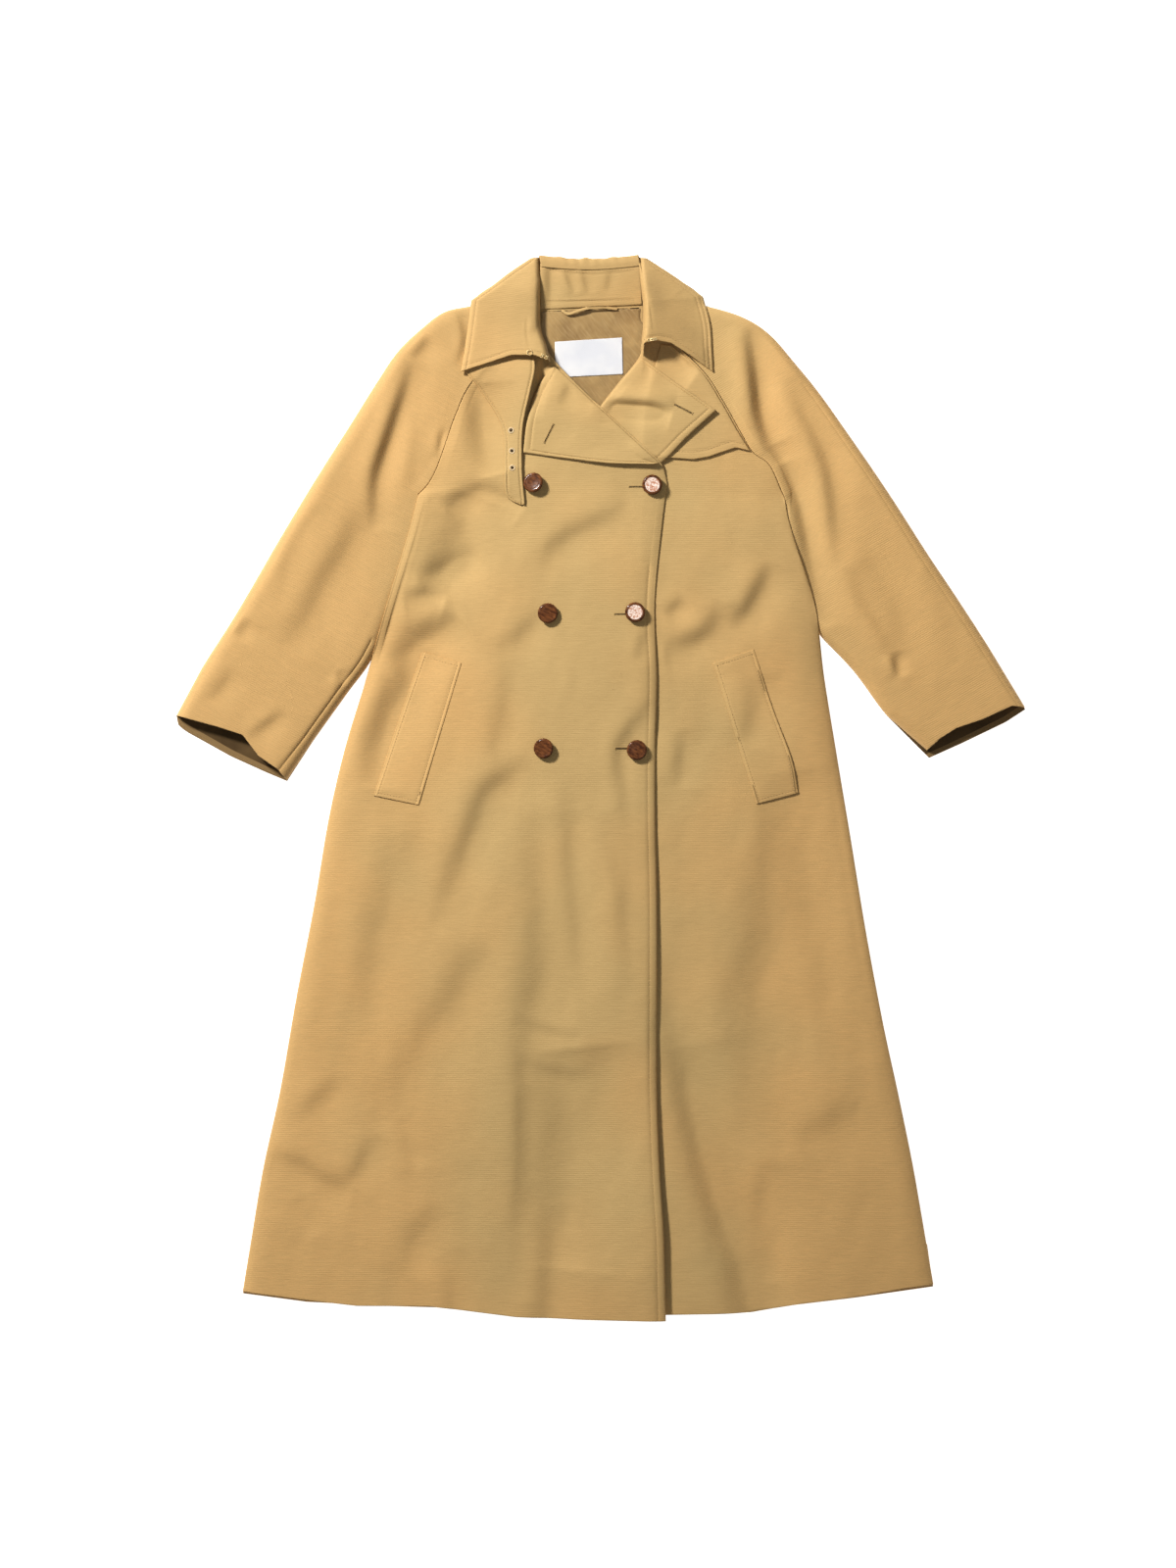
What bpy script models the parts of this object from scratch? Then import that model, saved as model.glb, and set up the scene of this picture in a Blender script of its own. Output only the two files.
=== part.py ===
"""A double-breasted raincoat with raglan sleeves, laid flat on its back, buttoned up to its open lapels.

Right and left are the wearer's. The coat's right front lies over its left front, and both lie over the
back. Each cut piece is a wall of its own that lies on the pieces under it. Tables are in millimetres from
the middle of the coat, X to the wearer's left and Y towards the collar, with heights from the surface.
"""

from collections import namedtuple
from math import cos, exp, hypot, pi, radians, sin

import bmesh
import bpy
import numpy as np
from mathutils import Euler, Vector
from mathutils.bvhtree import BVHTree

MM = 0.001

# Walls and seams
GABARDINE = 1.6
WELT_WALL = 2.2
SATIN = 1.0
LABEL_WALL = 1.0
LAY_GAP = 0.4
LAY_REACH = 1.5

# Columns of each piece, across its rows
FRONT_COLUMNS = 18
BACK_COLUMNS = 14
SLEEVE_COLUMNS = 8
LEAF_COLUMNS = 7
LAPEL_COLUMNS = 6

# Buttons
BUTTON_RADIUS = 11.8
BUTTON_DOME = 7.0
BUTTON_SHANK_RADIUS = 3.0
BUTTON_SHANK = 1.6
BUTTON_STEPS = 20

Row = namedtuple("Row", "left_x left_y right_x right_y left_z right_z loft steps corner")
Fold = namedtuple("Fold", "start_x start_y end_x end_y depth width")
FallLine = namedtuple("FallLine", "left_x right_x left_y right_y height dip")
Button = namedtuple("Button", "name x y tilt_x tilt_y")


def row(left_x, left_y, right_x, right_y, left_z=0.0, right_z=0.0, loft=0.0, steps=1, corner=False):
    """A line across a piece: its two ends, their heights, its rise between, and the steps to the next."""
    return Row(left_x, left_y, right_x, right_y, left_z, right_z, loft, steps, corner)


# ---------------------------------------------------------------------------------------------------------
# Tables: each piece from its collar end to its hem, a row for each section

SLEEVE_RIGHT = [
    row(-77, 575, -75, 544, 3, 4, 0),
    row(-107, 572, -101, 527, 2, 4, 1),
    row(-154, 564, -151, 474, 2, 5, 3),
    row(-184, 557, -170, 436, 2, 5, 5),
    row(-210, 538, -183, 399, 2, 5, 6),
    row(-238, 511, -192, 374, 2, 5, 7),
    row(-262, 476, -202, 355, 2, 5, 8),
    row(-292, 428, -214, 342, 2, 2.2, 9, 1, True),
    row(-322, 381, -208, 322, 2, 2, 10),
    row(-345, 344, -220, 277, 2, 2, 11, 2),
    row(-378, 289, -238, 217, 2, 2, 11, 2),
    row(-412, 230, -268, 151, 2, 2, 11, 2),
    row(-436, 190, -298, 109, 2, 2, 11, 2),
    row(-469, 138, -338, 53, 2, 2, 12, 2),
    row(-498, 84, -368, 8, 2, 2, 14),
]
CUFF_RIGHT_UPPER = [(-498, 84), (-447, 70), (-419, 61), (-400, 36), (-378, 21), (-368, 8)]
CUFF_RIGHT_LOWER = [(-496, 73), (-488, 66), (-434, 36), (-392, 17), (-368, 7)]

SLEEVE_LEFT = [
    row(51, 546, 51, 575, 4, 3, 0),
    row(77, 529, 82, 572, 4, 2, 1),
    row(121, 486, 125, 564, 5, 2, 3),
    row(144, 451, 167, 551, 5, 2, 5),
    row(163, 417, 198, 531, 5, 2, 6),
    row(178, 392, 227, 498, 5, 2, 7),
    row(198, 376, 257, 461, 5, 2, 8),
    row(215, 339, 291, 413, 2.2, 2, 9, 1, True),
    row(214, 297, 318, 374, 2, 2, 10),
    row(227, 254, 346, 332, 2, 2, 11, 2),
    row(247, 192, 383, 274, 2, 2, 11, 2),
    row(297, 135, 419, 220, 2, 2, 11, 2),
    row(335, 84, 457, 161, 2, 2, 12, 2),
    row(382, 36, 498, 93, 2, 2, 13),
]
CUFF_LEFT_UPPER = [(382, 43), (397, 57), (416, 69), (446, 79), (481, 95), (498, 93)]
CUFF_LEFT_LOWER = [(385, 34), (423, 51), (475, 76), (498, 91)]

BACK = [
    row(-74, 559, 50, 564),
    row(-74, 543, 50, 545),
    row(-100, 526, 76, 528),
    row(-150, 473.5, 120, 485.5),
    row(-169, 436, 143, 451),
    row(-182, 399, 162, 417),
    row(-191, 374, 177, 392),
    row(-201, 355, 197, 376),
    row(-213, 342, 214, 339, 5.0, 5.0, -5.0, 1, True),
    row(-224, 297, 226, 293),
    row(-236, 262, 239, 258, steps=2),
    row(-258, 180, 257, 180, steps=2),
    row(-293, 68, 273, 68, steps=3),
    row(-319, -36, 289, -36, steps=3),
    row(-341, -156, 309, -156, steps=3),
    row(-364, -282, 332, -282, steps=3),
    row(-388, -409, 359, -409, steps=3),
    row(-410, -530, 382, -530, steps=2),
    row(-420, -594, 390, -586),
]
BACK_HEM = [(-420, -594), (-345, -604), (-250, -609), (0, -616), (200, -611), (300, -599), (390, -586)]

FRONT_RIGHT = [
    row(-100.5, 527, -74, 524, 4, 5, 1),
    row(-150.5, 474, -54, 494, 5, 7, 1),
    row(-169.5, 436, -17, 461, 5, 9, 2),
    row(-182.5, 399, 15, 431, 5, 10, 2),
    row(-191.5, 374, 45, 403, 5, 11, 2),
    row(-201.5, 355, 71, 378, 5, 12, 2),
    row(-213.5, 342, 78, 355, 6.8, 14, 0, 1, True),
    row(-225, 297, 72, 310, 2, 13, 3, 2),
    row(-250, 215, 63, 216, 2, 11, 3, 2),
    row(-275, 128, 66, 128, 2, 13, 3, 2),
    row(-300, 46, 64, 45, 2, 12, 3, 3),
    row(-319, -36, 64, -36, 2, 10, 3, 3),
    row(-336, -137, 66, -137, 2, 10, 3, 3),
    row(-357, -246, 66, -246, 2, 10, 3, 3),
    row(-376, -355, 66, -355, 2, 12, 3, 3),
    row(-396, -447, 69, -447, 2, 13, 3, 3),
    row(-410, -530, 74, -530, 2, 13, 3, 3),
    row(-420, -591, 76, -624, 2, 12, 3),
]
HEM_RIGHT = [(-420, -591), (-348, -600), (-285, -607), (-202, -607), (-100, -619), (-23, -622), (76, -624)]

FRONT_LEFT = [
    row(48, 526, 76.5, 529, 5, 4, 1),
    row(45, 504, 120.5, 486, 6, 5, 1),
    row(21, 474, 143.5, 451, 6, 5, 2),
    row(-1, 446, 162.5, 417, 6, 5, 2),
    row(-20, 421, 177.5, 392, 6, 5, 2),
    row(-38, 397, 197.5, 376, 5, 5, 3),
    row(-61, 362, 214.5, 339, 5, 6.8, 2, 1, True),
    row(-78, 310, 223, 300, 5, 2, 4, 2),
    row(-86, 215, 250, 215, 5, 2, 4, 2),
    row(-87, 128, 262, 128, 5, 2, 4, 2),
    row(-87, 36, 277, 36, 5, 2, 4, 3),
    row(-87, -60, 293, -60, 5, 2, 4, 3),
    row(-87, -170, 311, -170, 5, 2, 4, 3),
    row(-87, -277, 331, -277, 5, 2, 4, 3),
    row(-87, -370, 351, -370, 5, 2, 4, 3),
    row(-87, -460, 369, -460, 5, 2, 4, 3),
    row(-87, -622, 390, -583, 5, 2, 4),
]
HEM_LEFT = [(-87, -622), (78, -618), (177, -616), (236, -605), (304, -596), (361, -586), (390, -583)]

LAPEL_RIGHT = [
    row(-59, 490, -54, 492, 2, 2, 0),
    row(-75, 465, -28, 468, 1, 3, 1),
    row(-86, 431, -8, 449, 0, 3, 1, 2),
    row(-91, 391, 14, 428.5, 0, 3, 1, 2, True),
    row(-49, 385, 36, 408, 0, 3, 1),
    row(8, 378, 53, 392, 3, 3, 0),
    row(60, 377, 68, 378, 3, 3, 0),
]
LAPEL_LEFT = [
    row(47, 502, 53, 499, 2, 2, 0),
    row(33, 486, 91, 471, 3, 3, 1, 2),
    row(17, 467, 135, 440, 3, 3, 1, 2, True),
    row(-1, 444, 103, 411, 3, 4, 1),
    row(-19, 420, 71, 379, 3, 1, 0),
    row(-36, 394, 31, 351, 2, 0, 0),
    row(-48, 377, -15, 347, 1, 0, 0),
    row(-58, 364, -52, 359, 0, 0, 0),
]
STORM_FLAP = [
    row(70, 519, 83, 517),
    row(62, 486, 117.5, 486, 0, 0, 0.5, 2),
    row(54, 451, 140.5, 451, 0, 0, 0.5, 2),
    row(50, 417, 159.5, 417, 0, 0, 0.5, 2),
    row(48, 392, 174.5, 393, 2, 0, 1),
]
STORM_FLAP_EDGE = [(48, 392), (80, 385), (108, 383), (126, 386), (137, 390), (158, 397), (174.5, 393)]

THROAT_LATCH = [
    row(-160, 510, -78, 508),
    row(-161, 490, -77, 487, 0, 2, 0),
    row(-140, 463, -82, 463, 0, 3, 0, 2),
    row(-116, 421, -91, 421, 0, 2, 0, 2),
    row(-113, 375, -92, 375, 0, 1, 0, 2),
    row(-112, 345, -90, 345, 0, 1, 0),
    row(-106, 336, -89, 336, 0, 1, 0),
    row(-94, 330, -89, 330),
]

WELT_RIGHT = [
    row(-209, 158, -163, 145, 0, 0, 0, 3),
    row(-237, 78, -188, 62, 0.5, 0, 0, 3),
    row(-266, -10, -213, -21, 0.5, 0, 0),
]
WELT_LEFT = [
    row(131, 145, 179, 161, 0, 0.5, 0, 2),
    row(147, 94, 201, 93, 0, 1, 0, 2),
    row(165, 35, 223, 33, 0, 1, 0, 2),
    row(182, -20, 231, -7, 0, 0.5, 0),
]

LINING_NECK = [
    row(-71.5, 557, 48, 561),
    row(-72, 545, 48, 547),
    row(-84, 525, 60, 527),
    row(-66, 486, 42, 486),
    row(-32, 450, 16, 450),
    row(-10, 428, 0, 428),
]
LABEL = [
    row(-54, 522, 25, 527, 0, 0, 0, 2),
    row(-53, 480, 26, 484),
]
HANGER_LOOP = [
    row(-47, 558, -44, 562),
    row(-38, 551, -36, 555.5, 1, 1, 0),
    row(-22, 554, -23, 558.5, 2, 2, 0),
    row(-8, 558, -8, 562.5, 3, 3, 0),
    row(8, 559, 8, 563.5, 2, 2, 0),
    row(20, 558, 20, 562.5),
]
COLLAR_STAND = [
    row(-71, 610.5, 46, 611.5, 5.5, 5.5, 0.5, 2),
    row(-71, 566, 48, 571, 4, 4, 0),
    row(-71, 560, 48, 565.5, 4, 4, 0),
]
LEAF_RIGHT = [
    row(-82, 620, -72, 621, 2.5, 9, 0),
    row(-106, 604, -71, 594, 2, 13, 1),
    row(-128, 587, -71, 580, 2, 15, 2),
    row(-152, 570, -71, 566, 2, 16, 3, 1, True),
    row(-156, 538, -70, 538, 6, 16, 3),
    row(-160, 509, -63, 515, 9, 16, 3),
    row(-164, 485, -59, 497, 11, 16, 4),
]
LEAF_RIGHT_EDGE = [(-164, 485), (-135, 494), (-105, 504), (-78, 504), (-59, 497)]
LEAF_LEFT = [
    row(44, 621, 54, 620, 9, 2.5, 0),
    row(46, 594, 88, 598, 13, 2, 1),
    row(49, 566, 120, 575, 15, 2, 3, 1, True),
    row(49, 544, 128, 542, 15, 5, 4),
    row(48, 528, 130, 513, 16, 9, 5),
    row(47, 514, 131, 485, 17, 11, 5),
]
LEAF_LEFT_EDGE = [(47, 514), (67, 521), (94, 506), (131, 485)]

# The collar's fall goes over the back of the neck and down behind it: the lines of its section, from the
# seam above, over the roll, to the edge that lies on the surface
FALL_SECTION = [
    FallLine(-70, 46, 611.5, 612.5, 6.6, 3.5),
    FallLine(-71, 45, 617, 618, 6.9, 3.5),
    FallLine(-72, 44, 621.5, 622, 5.2, 3.5),
    FallLine(-72.5, 44.5, 622.7, 623.2, 3.6, 3.5),
    FallLine(-74, 46, 620.5, 621, 1.6, 3.5),
    FallLine(-89, 60, 615, 615, 0.8, 0),
    FallLine(-120, 90, 593, 596, 0.8, 0),
    FallLine(-150, 118, 570, 574, 0.8, 0),
    FallLine(-149, 116, 538, 538, 0.8, 0),
]
FALL_COLUMNS = 10
ROLL_LINES = (2, 3)
ROLL_PUCKER = 1.2
ROLL_PUCKERS = 5

FRONT_FOLDS = [
    Fold(-184, 336, -115, 345, -3, 16),
    Fold(-196, 284, -146, 255, -3, 18),
    Fold(-176, 205, -245, 164, -4, 16),
    Fold(37, 331, -72, 256, -3, 18),
    Fold(197, 259, 153, 179, -4, 18),
    Fold(138, 221, 89, 171, -3, 16),
    Fold(-97, -112, -95, -491, -4, 20),
    Fold(-60, -90, -62, -520, 3, 20),
    Fold(-141, 2, -183, -130, -3, 18),
    Fold(-39, 6, -26, -204, -3, 18),
    Fold(-252, -76, -285, -240, -4, 20),
    Fold(-140, -250, -150, -470, 3, 22),
    Fold(-340, -345, -312, -385, -3, 16),
    Fold(-90, -472, -112, -541, -3, 16),
    Fold(-23, -491, -23, -605, -4, 16),
    Fold(22, -480, 24, -600, 3, 18),
    Fold(-190, -520, -200, -600, 3, 22),
    Fold(166, -64, 150, -294, -4, 20),
    Fold(205, -90, 210, -310, 3, 22),
    Fold(252, -76, 281, -343, -4, 20),
    Fold(293, -371, 191, -438, -3, 18),
    Fold(108, -461, 152, -543, -4, 18),
    Fold(152, -543, 156, -611, -4, 18),
    Fold(210, -500, 225, -590, 3, 20),
    Fold(300, -480, 320, -580, 3, 22),
]
SLEEVE_FOLDS = [
    Fold(-228, 491, -250, 417, -4, 18),
    Fold(-250, 417, -286, 329, -4, 18),
    Fold(-286, 329, -345, 212, -4, 20),
    Fold(-300, 300, -330, 200, 3, 18),
    Fold(-405, 84, -392, 52, 4, 16),
    Fold(178, 508, 178, 458, -4, 16),
    Fold(178, 458, 193, 396, -4, 16),
    Fold(259, 340, 259, 270, -4, 18),
    Fold(269, 260, 306, 193, -4, 18),
    Fold(320, 250, 350, 200, 3, 18),
    Fold(351, 140, 372, 95, -3, 16),
]

BUTTONS = [
    Button("button_top_right", -78, 355, -8, -14),
    Button("button_top_left", 60, 353, 0, 0),
    Button("button_middle_right", -62, 203, 0, 0),
    Button("button_middle_left", 40, 204, 0, 0),
    Button("button_low_right", -66, 45, 0, -12),
    Button("button_low_left", 42, 43, 0, 0),
]

# Colour, roughness and sheen of each cloth or material
CLOTH = ((0.66, 0.45, 0.19), 0.75)
CLOTH_BRIGHT = ((0.70, 0.48, 0.21), 0.75)
CLOTH_DEEP = ((0.60, 0.40, 0.17), 0.75)
LINING = ((0.50, 0.33, 0.13), 0.35)
WHITE_SATIN = ((0.88, 0.88, 0.90), 0.4)
BUTTON_BROWN = ((0.16, 0.05, 0.03), 0.25)


# ---------------------------------------------------------------------------------------------------------
# Sections

def smooth(before, start, end, after, share):
    """The curve through four values, at a share of the way from the second to the third."""
    square = share * share
    return 0.5 * (
        2 * start
        + (end - before) * share
        + (2 * before - 5 * start + 4 * end - after) * square
        + (3 * start - before - 3 * end + after) * square * share
    )


def section(rows, place):
    """The row at a place counted in rows from the first, with the curve broken at corners."""
    index = min(int(place), len(rows) - 2)
    share = place - index
    start = rows[index]
    end = rows[index + 1]
    values = []
    for column in range(7):
        before = 2 * start[column] - end[column]
        after = 2 * end[column] - start[column]
        if index > 0 and not start.corner:
            before = rows[index - 1][column]
        if index + 2 < len(rows) and not end.corner:
            after = rows[index + 2][column]
        values.append(smooth(before, start[column], end[column], after, share))
    return values


def along(points, share):
    """The point of an edge at a share of its width."""
    x = points[0][0] + (points[-1][0] - points[0][0]) * share
    for (x0, y0), (x1, y1) in zip(points, points[1:]):
        if (x - x0) * (x - x1) <= 0 and x0 != x1:
            return x, y0 + (y1 - y0) * (x - x0) / (x1 - x0)
    return points[-1]


def fold_height(folds, x, y):
    """The rise or sink of the folds at a point."""
    height = 0.0
    for fold in folds:
        run_x = fold.end_x - fold.start_x
        run_y = fold.end_y - fold.start_y
        share = ((x - fold.start_x) * run_x + (y - fold.start_y) * run_y) / (run_x**2 + run_y**2)
        share = min(1.0, max(0.0, share))
        away = hypot(x - fold.start_x - run_x * share, y - fold.start_y - run_y * share)
        height += fold.depth * exp(-((away / fold.width) ** 2))
    return height


def row_places(rows):
    """Where each cross line of the mesh lies, counted in rows."""
    places = [0.0]
    for index, start in enumerate(rows[:-1]):
        for step in range(start.steps):
            places.append(index + (step + 1) / start.steps)
    return places


# ---------------------------------------------------------------------------------------------------------
# Laying pieces on each other

class Pile:
    """The top of everything laid so far."""

    def __init__(self):
        self.points = []
        self.faces = []
        self.tree = None

    def add(self, made):
        graph = bpy.context.evaluated_depsgraph_get()
        evaluated = made.evaluated_get(graph)
        mesh = evaluated.to_mesh()
        mesh.calc_loop_triangles()
        first = len(self.points)
        self.points += [made.matrix_world @ vertex.co for vertex in mesh.vertices]
        self.faces += [[first + corner for corner in tri.vertices] for tri in mesh.loop_triangles]
        evaluated.to_mesh_clear()
        self.tree = BVHTree.FromPolygons(self.points, self.faces)

    def rest_height(self, x, y, reach=0.0):
        """The lowest height at which a wall clears what lies within reach of a point, in millimetres."""
        if self.tree is None:
            return 0.0
        around = [(0, 0), (reach, 0), (-reach, 0), (0, reach), (0, -reach)] if reach else [(0, 0)]
        highest = 0.0
        for over_x, over_y in around:
            start = Vector(((x + over_x) * MM, (y + over_y) * MM, 1))
            hit = self.tree.ray_cast(start, Vector((0, 0, -1)))[0]
            if hit is not None:
                highest = max(highest, hit.z / MM + LAY_GAP)
        return highest


def triangle_samples(count):
    """Shares of the three corners at points spread over a triangle, corners and edges included."""
    return np.array(
        [
            (a / count, b / count, (count - a - b) / count)
            for a in range(count + 1)
            for b in range(count + 1 - a)
        ]
    )


def corner_shares(spot, ends):
    """A point's shares of the three corners of the triangle that it lies in."""
    edges = np.array([ends[1] - ends[0], ends[2] - ends[0]]).T
    second, third = np.linalg.solve(edges, spot - ends[0])
    return 1 - second - third, second, third


def laid_heights(pile, corners, heights, triangles, reach):
    """The heights raised just enough that no triangle cuts into the pile."""
    spread = triangle_samples(5)
    owners = np.array(triangles).repeat(len(spread), axis=0)
    shares = np.tile(spread, (len(triangles), 1))
    spots = np.einsum("sc,scd->sd", shares, corners[owners])
    need = np.array([pile.rest_height(x, y, reach) for x, y in spots])
    flat = BVHTree.FromPolygons([Vector((x, y, 0)) for x, y in corners], triangles)
    peaks = []
    for point in pile.points:
        x, y, z = point / MM
        index = flat.ray_cast(Vector((x, y, 1)), Vector((0, 0, -1)))[2]
        if index is not None:
            inside = corner_shares(np.array((x, y)), corners[triangles[index]])
            peaks.append((triangles[index], inside, z + LAY_GAP))
    if peaks:
        owners = np.vstack([owners, [peak[0] for peak in peaks]])
        shares = np.vstack([shares, [peak[1] for peak in peaks]])
        need = np.append(need, [peak[2] for peak in peaks])
    weight = shares / (shares**2).sum(axis=1, keepdims=True)
    for _ in range(300):
        short = need - (shares * heights[owners]).sum(axis=1)
        if short.max() < 0.01:
            break
        raised = heights[owners] + np.clip(short, 0, None)[:, None] * weight
        np.maximum.at(heights, owners, raised)
    return heights


# ---------------------------------------------------------------------------------------------------------
# Objects

def material(name, look):
    """A plain shader of one colour."""
    colour, roughness = look
    made = bpy.data.materials.new(name)
    made.use_nodes = True
    shader = made.node_tree.nodes["Principled BSDF"]
    shader.inputs["Base Color"].default_value = (*colour, 1)
    shader.inputs["Roughness"].default_value = roughness
    return made


def add_object(name, mesh, look, collection):
    """The object of a mesh, with its own material, in the coat's collection."""
    made = bpy.data.objects.new(name, mesh)
    made.data.materials.append(material(name, look))
    collection.objects.link(made)
    bpy.context.view_layer.update()
    return made


def raise_wall(bm, wall):
    """Makes the wall by raising a copy of the underside, so that seams stay parted at their tops."""
    raised = bmesh.ops.extrude_face_region(bm, geom=bm.faces[:], use_keep_orig=True)
    top = [item for item in raised["geom"] if isinstance(item, bmesh.types.BMVert)]
    bmesh.ops.translate(bm, verts=top, vec=Vector((0, 0, wall * MM)))
    bmesh.ops.recalc_face_normals(bm, faces=bm.faces)


def lay_piece(name, rows, columns, look, coat, wall=GABARDINE, edge=None, folds=(), lies=False):
    """A piece of cloth laid on the pile.

    Where it lies, its table's heights are lifts over what is under it. Otherwise they are heights over the
    surface, and it is raised where that would cut into a piece below.
    """
    collection, pile = coat
    places = row_places(rows)
    lines = len(places) - 1
    bm = bmesh.new()
    bmesh.ops.create_grid(bm, x_segments=columns, y_segments=lines, size=1)
    heights = []
    for vertex in bm.verts:
        across = (vertex.co.x + 1) / 2
        line = round((1 - vertex.co.y) / 2 * lines)
        left_x, left_y, right_x, right_y, left_z, right_z, loft = section(rows, places[line])
        x = left_x + (right_x - left_x) * across
        y = left_y + (right_y - left_y) * across
        if edge and places[line] > len(rows) - 2:
            share = places[line] - (len(rows) - 2)
            before = rows[-2]
            end_x, end_y = along(edge, across)
            x = before.left_x + (before.right_x - before.left_x) * across
            y = before.left_y + (before.right_y - before.left_y) * across
            x += (end_x - x) * share
            y += (end_y - y) * share
        lift = left_z + (right_z - left_z) * across + loft * sin(pi * across) ** 0.6
        inner = min(1.0, 4 * min(across, 1 - across))
        lift += inner * fold_height(folds, x, y)
        heights.append(max(0.0, lift) + (pile.rest_height(x, y) if lies else 0.0))
        vertex.co = Vector((x, y, 0))
    bmesh.ops.triangulate(bm, faces=bm.faces, quad_method="FIXED")
    bm.normal_update()
    if sum(face.calc_area() * face.normal.z for face in bm.faces) < 0:
        bmesh.ops.reverse_faces(bm, faces=bm.faces)
    bm.verts.index_update()
    corners = np.array([vertex.co.xy for vertex in bm.verts])
    triangles = [[vertex.index for vertex in face.verts] for face in bm.faces]
    reach = LAY_REACH if lies else 0.0
    heights = laid_heights(pile, corners, np.array(heights), triangles, reach)
    for vertex, height in zip(bm.verts, heights):
        vertex.co = Vector((vertex.co.x, vertex.co.y, height)) * MM
    raise_wall(bm, wall)
    mesh = bpy.data.meshes.new(name)
    bm.to_mesh(mesh)
    bm.free()
    made = add_object(name, mesh, look, collection)
    pile.add(made)
    return made


def fall_back(coat):
    """The collar's fall behind the neck: over the roll, then flat under the coat."""
    collection, pile = coat
    lines = len(FALL_SECTION) - 1
    bm = bmesh.new()
    bmesh.ops.create_grid(bm, x_segments=FALL_COLUMNS, y_segments=lines, size=1)
    for vertex in bm.verts:
        across = (vertex.co.x + 1) / 2
        line = round((vertex.co.y + 1) / 2 * lines)
        at = FALL_SECTION[line]
        pucker = ROLL_PUCKER * sin(2 * pi * ROLL_PUCKERS * across) if line in ROLL_LINES else 0.0
        x = at.left_x + (at.right_x - at.left_x) * across
        y = at.left_y + (at.right_y - at.left_y) * across - at.dip * sin(pi * across) - max(0.0, pucker)
        vertex.co = Vector((x, y, at.height)) * MM
    mesh = bpy.data.meshes.new("collar_fall_back")
    bm.to_mesh(mesh)
    bm.free()
    made = add_object("collar_fall_back", mesh, CLOTH, collection)
    solid = made.modifiers.new("Wall", "SOLIDIFY")
    solid.thickness = GABARDINE * MM
    solid.offset = 0
    bpy.context.view_layer.update()
    pile.add(made)


def button_profile():
    """The section of a button from the top of its dome down its outer side to the foot of its shank."""
    dome = [(BUTTON_RADIUS * 0.72 * sin(a), BUTTON_DOME - 1.6 * (1 - cos(a))) for a in (0.0, 0.5, 1.0, 1.45)]
    rim = [(9.4, 4.9), (10.4, 5.5), (11.4, 5.2), (BUTTON_RADIUS, 4.2), (11.2, 2.8), (8.5, BUTTON_SHANK)]
    shank = [(BUTTON_SHANK_RADIUS, BUTTON_SHANK), (BUTTON_SHANK_RADIUS, 0.0), (0.0, 0.0)]
    return dome + rim + shank


def sew_button(button, coat):
    """A domed button, tilted as it lies and set just clear of the cloth."""
    collection, pile = coat
    profile = button_profile()
    mesh = bpy.data.meshes.new(button.name)
    points = [(radius * MM, 0, height * MM) for radius, height in profile]
    mesh.from_pydata(points, [(index, index + 1) for index in range(len(points) - 1)], [])
    made = add_object(button.name, mesh, BUTTON_BROWN, collection)
    screw = made.modifiers.new("Turn", "SCREW")
    screw.steps = BUTTON_STEPS
    screw.render_steps = BUTTON_STEPS
    screw.use_merge_vertices = True
    screw.merge_threshold = 0.0001
    tilt = Euler((radians(button.tilt_x), radians(button.tilt_y), 0))
    lowest = 0.0
    for radius, height in profile[6:]:
        for step in range(BUTTON_STEPS):
            turn = 2 * pi * step / BUTTON_STEPS
            spot = Vector((radius * cos(turn), radius * sin(turn), height))
            spot.rotate(tilt)
            lowest = max(lowest, pile.rest_height(button.x + spot.x, button.y + spot.y) - spot.z)
    made.rotation_euler = tilt
    made.location = Vector((button.x, button.y, lowest)) * MM
    bpy.context.view_layer.update()
    pile.add(made)


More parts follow.
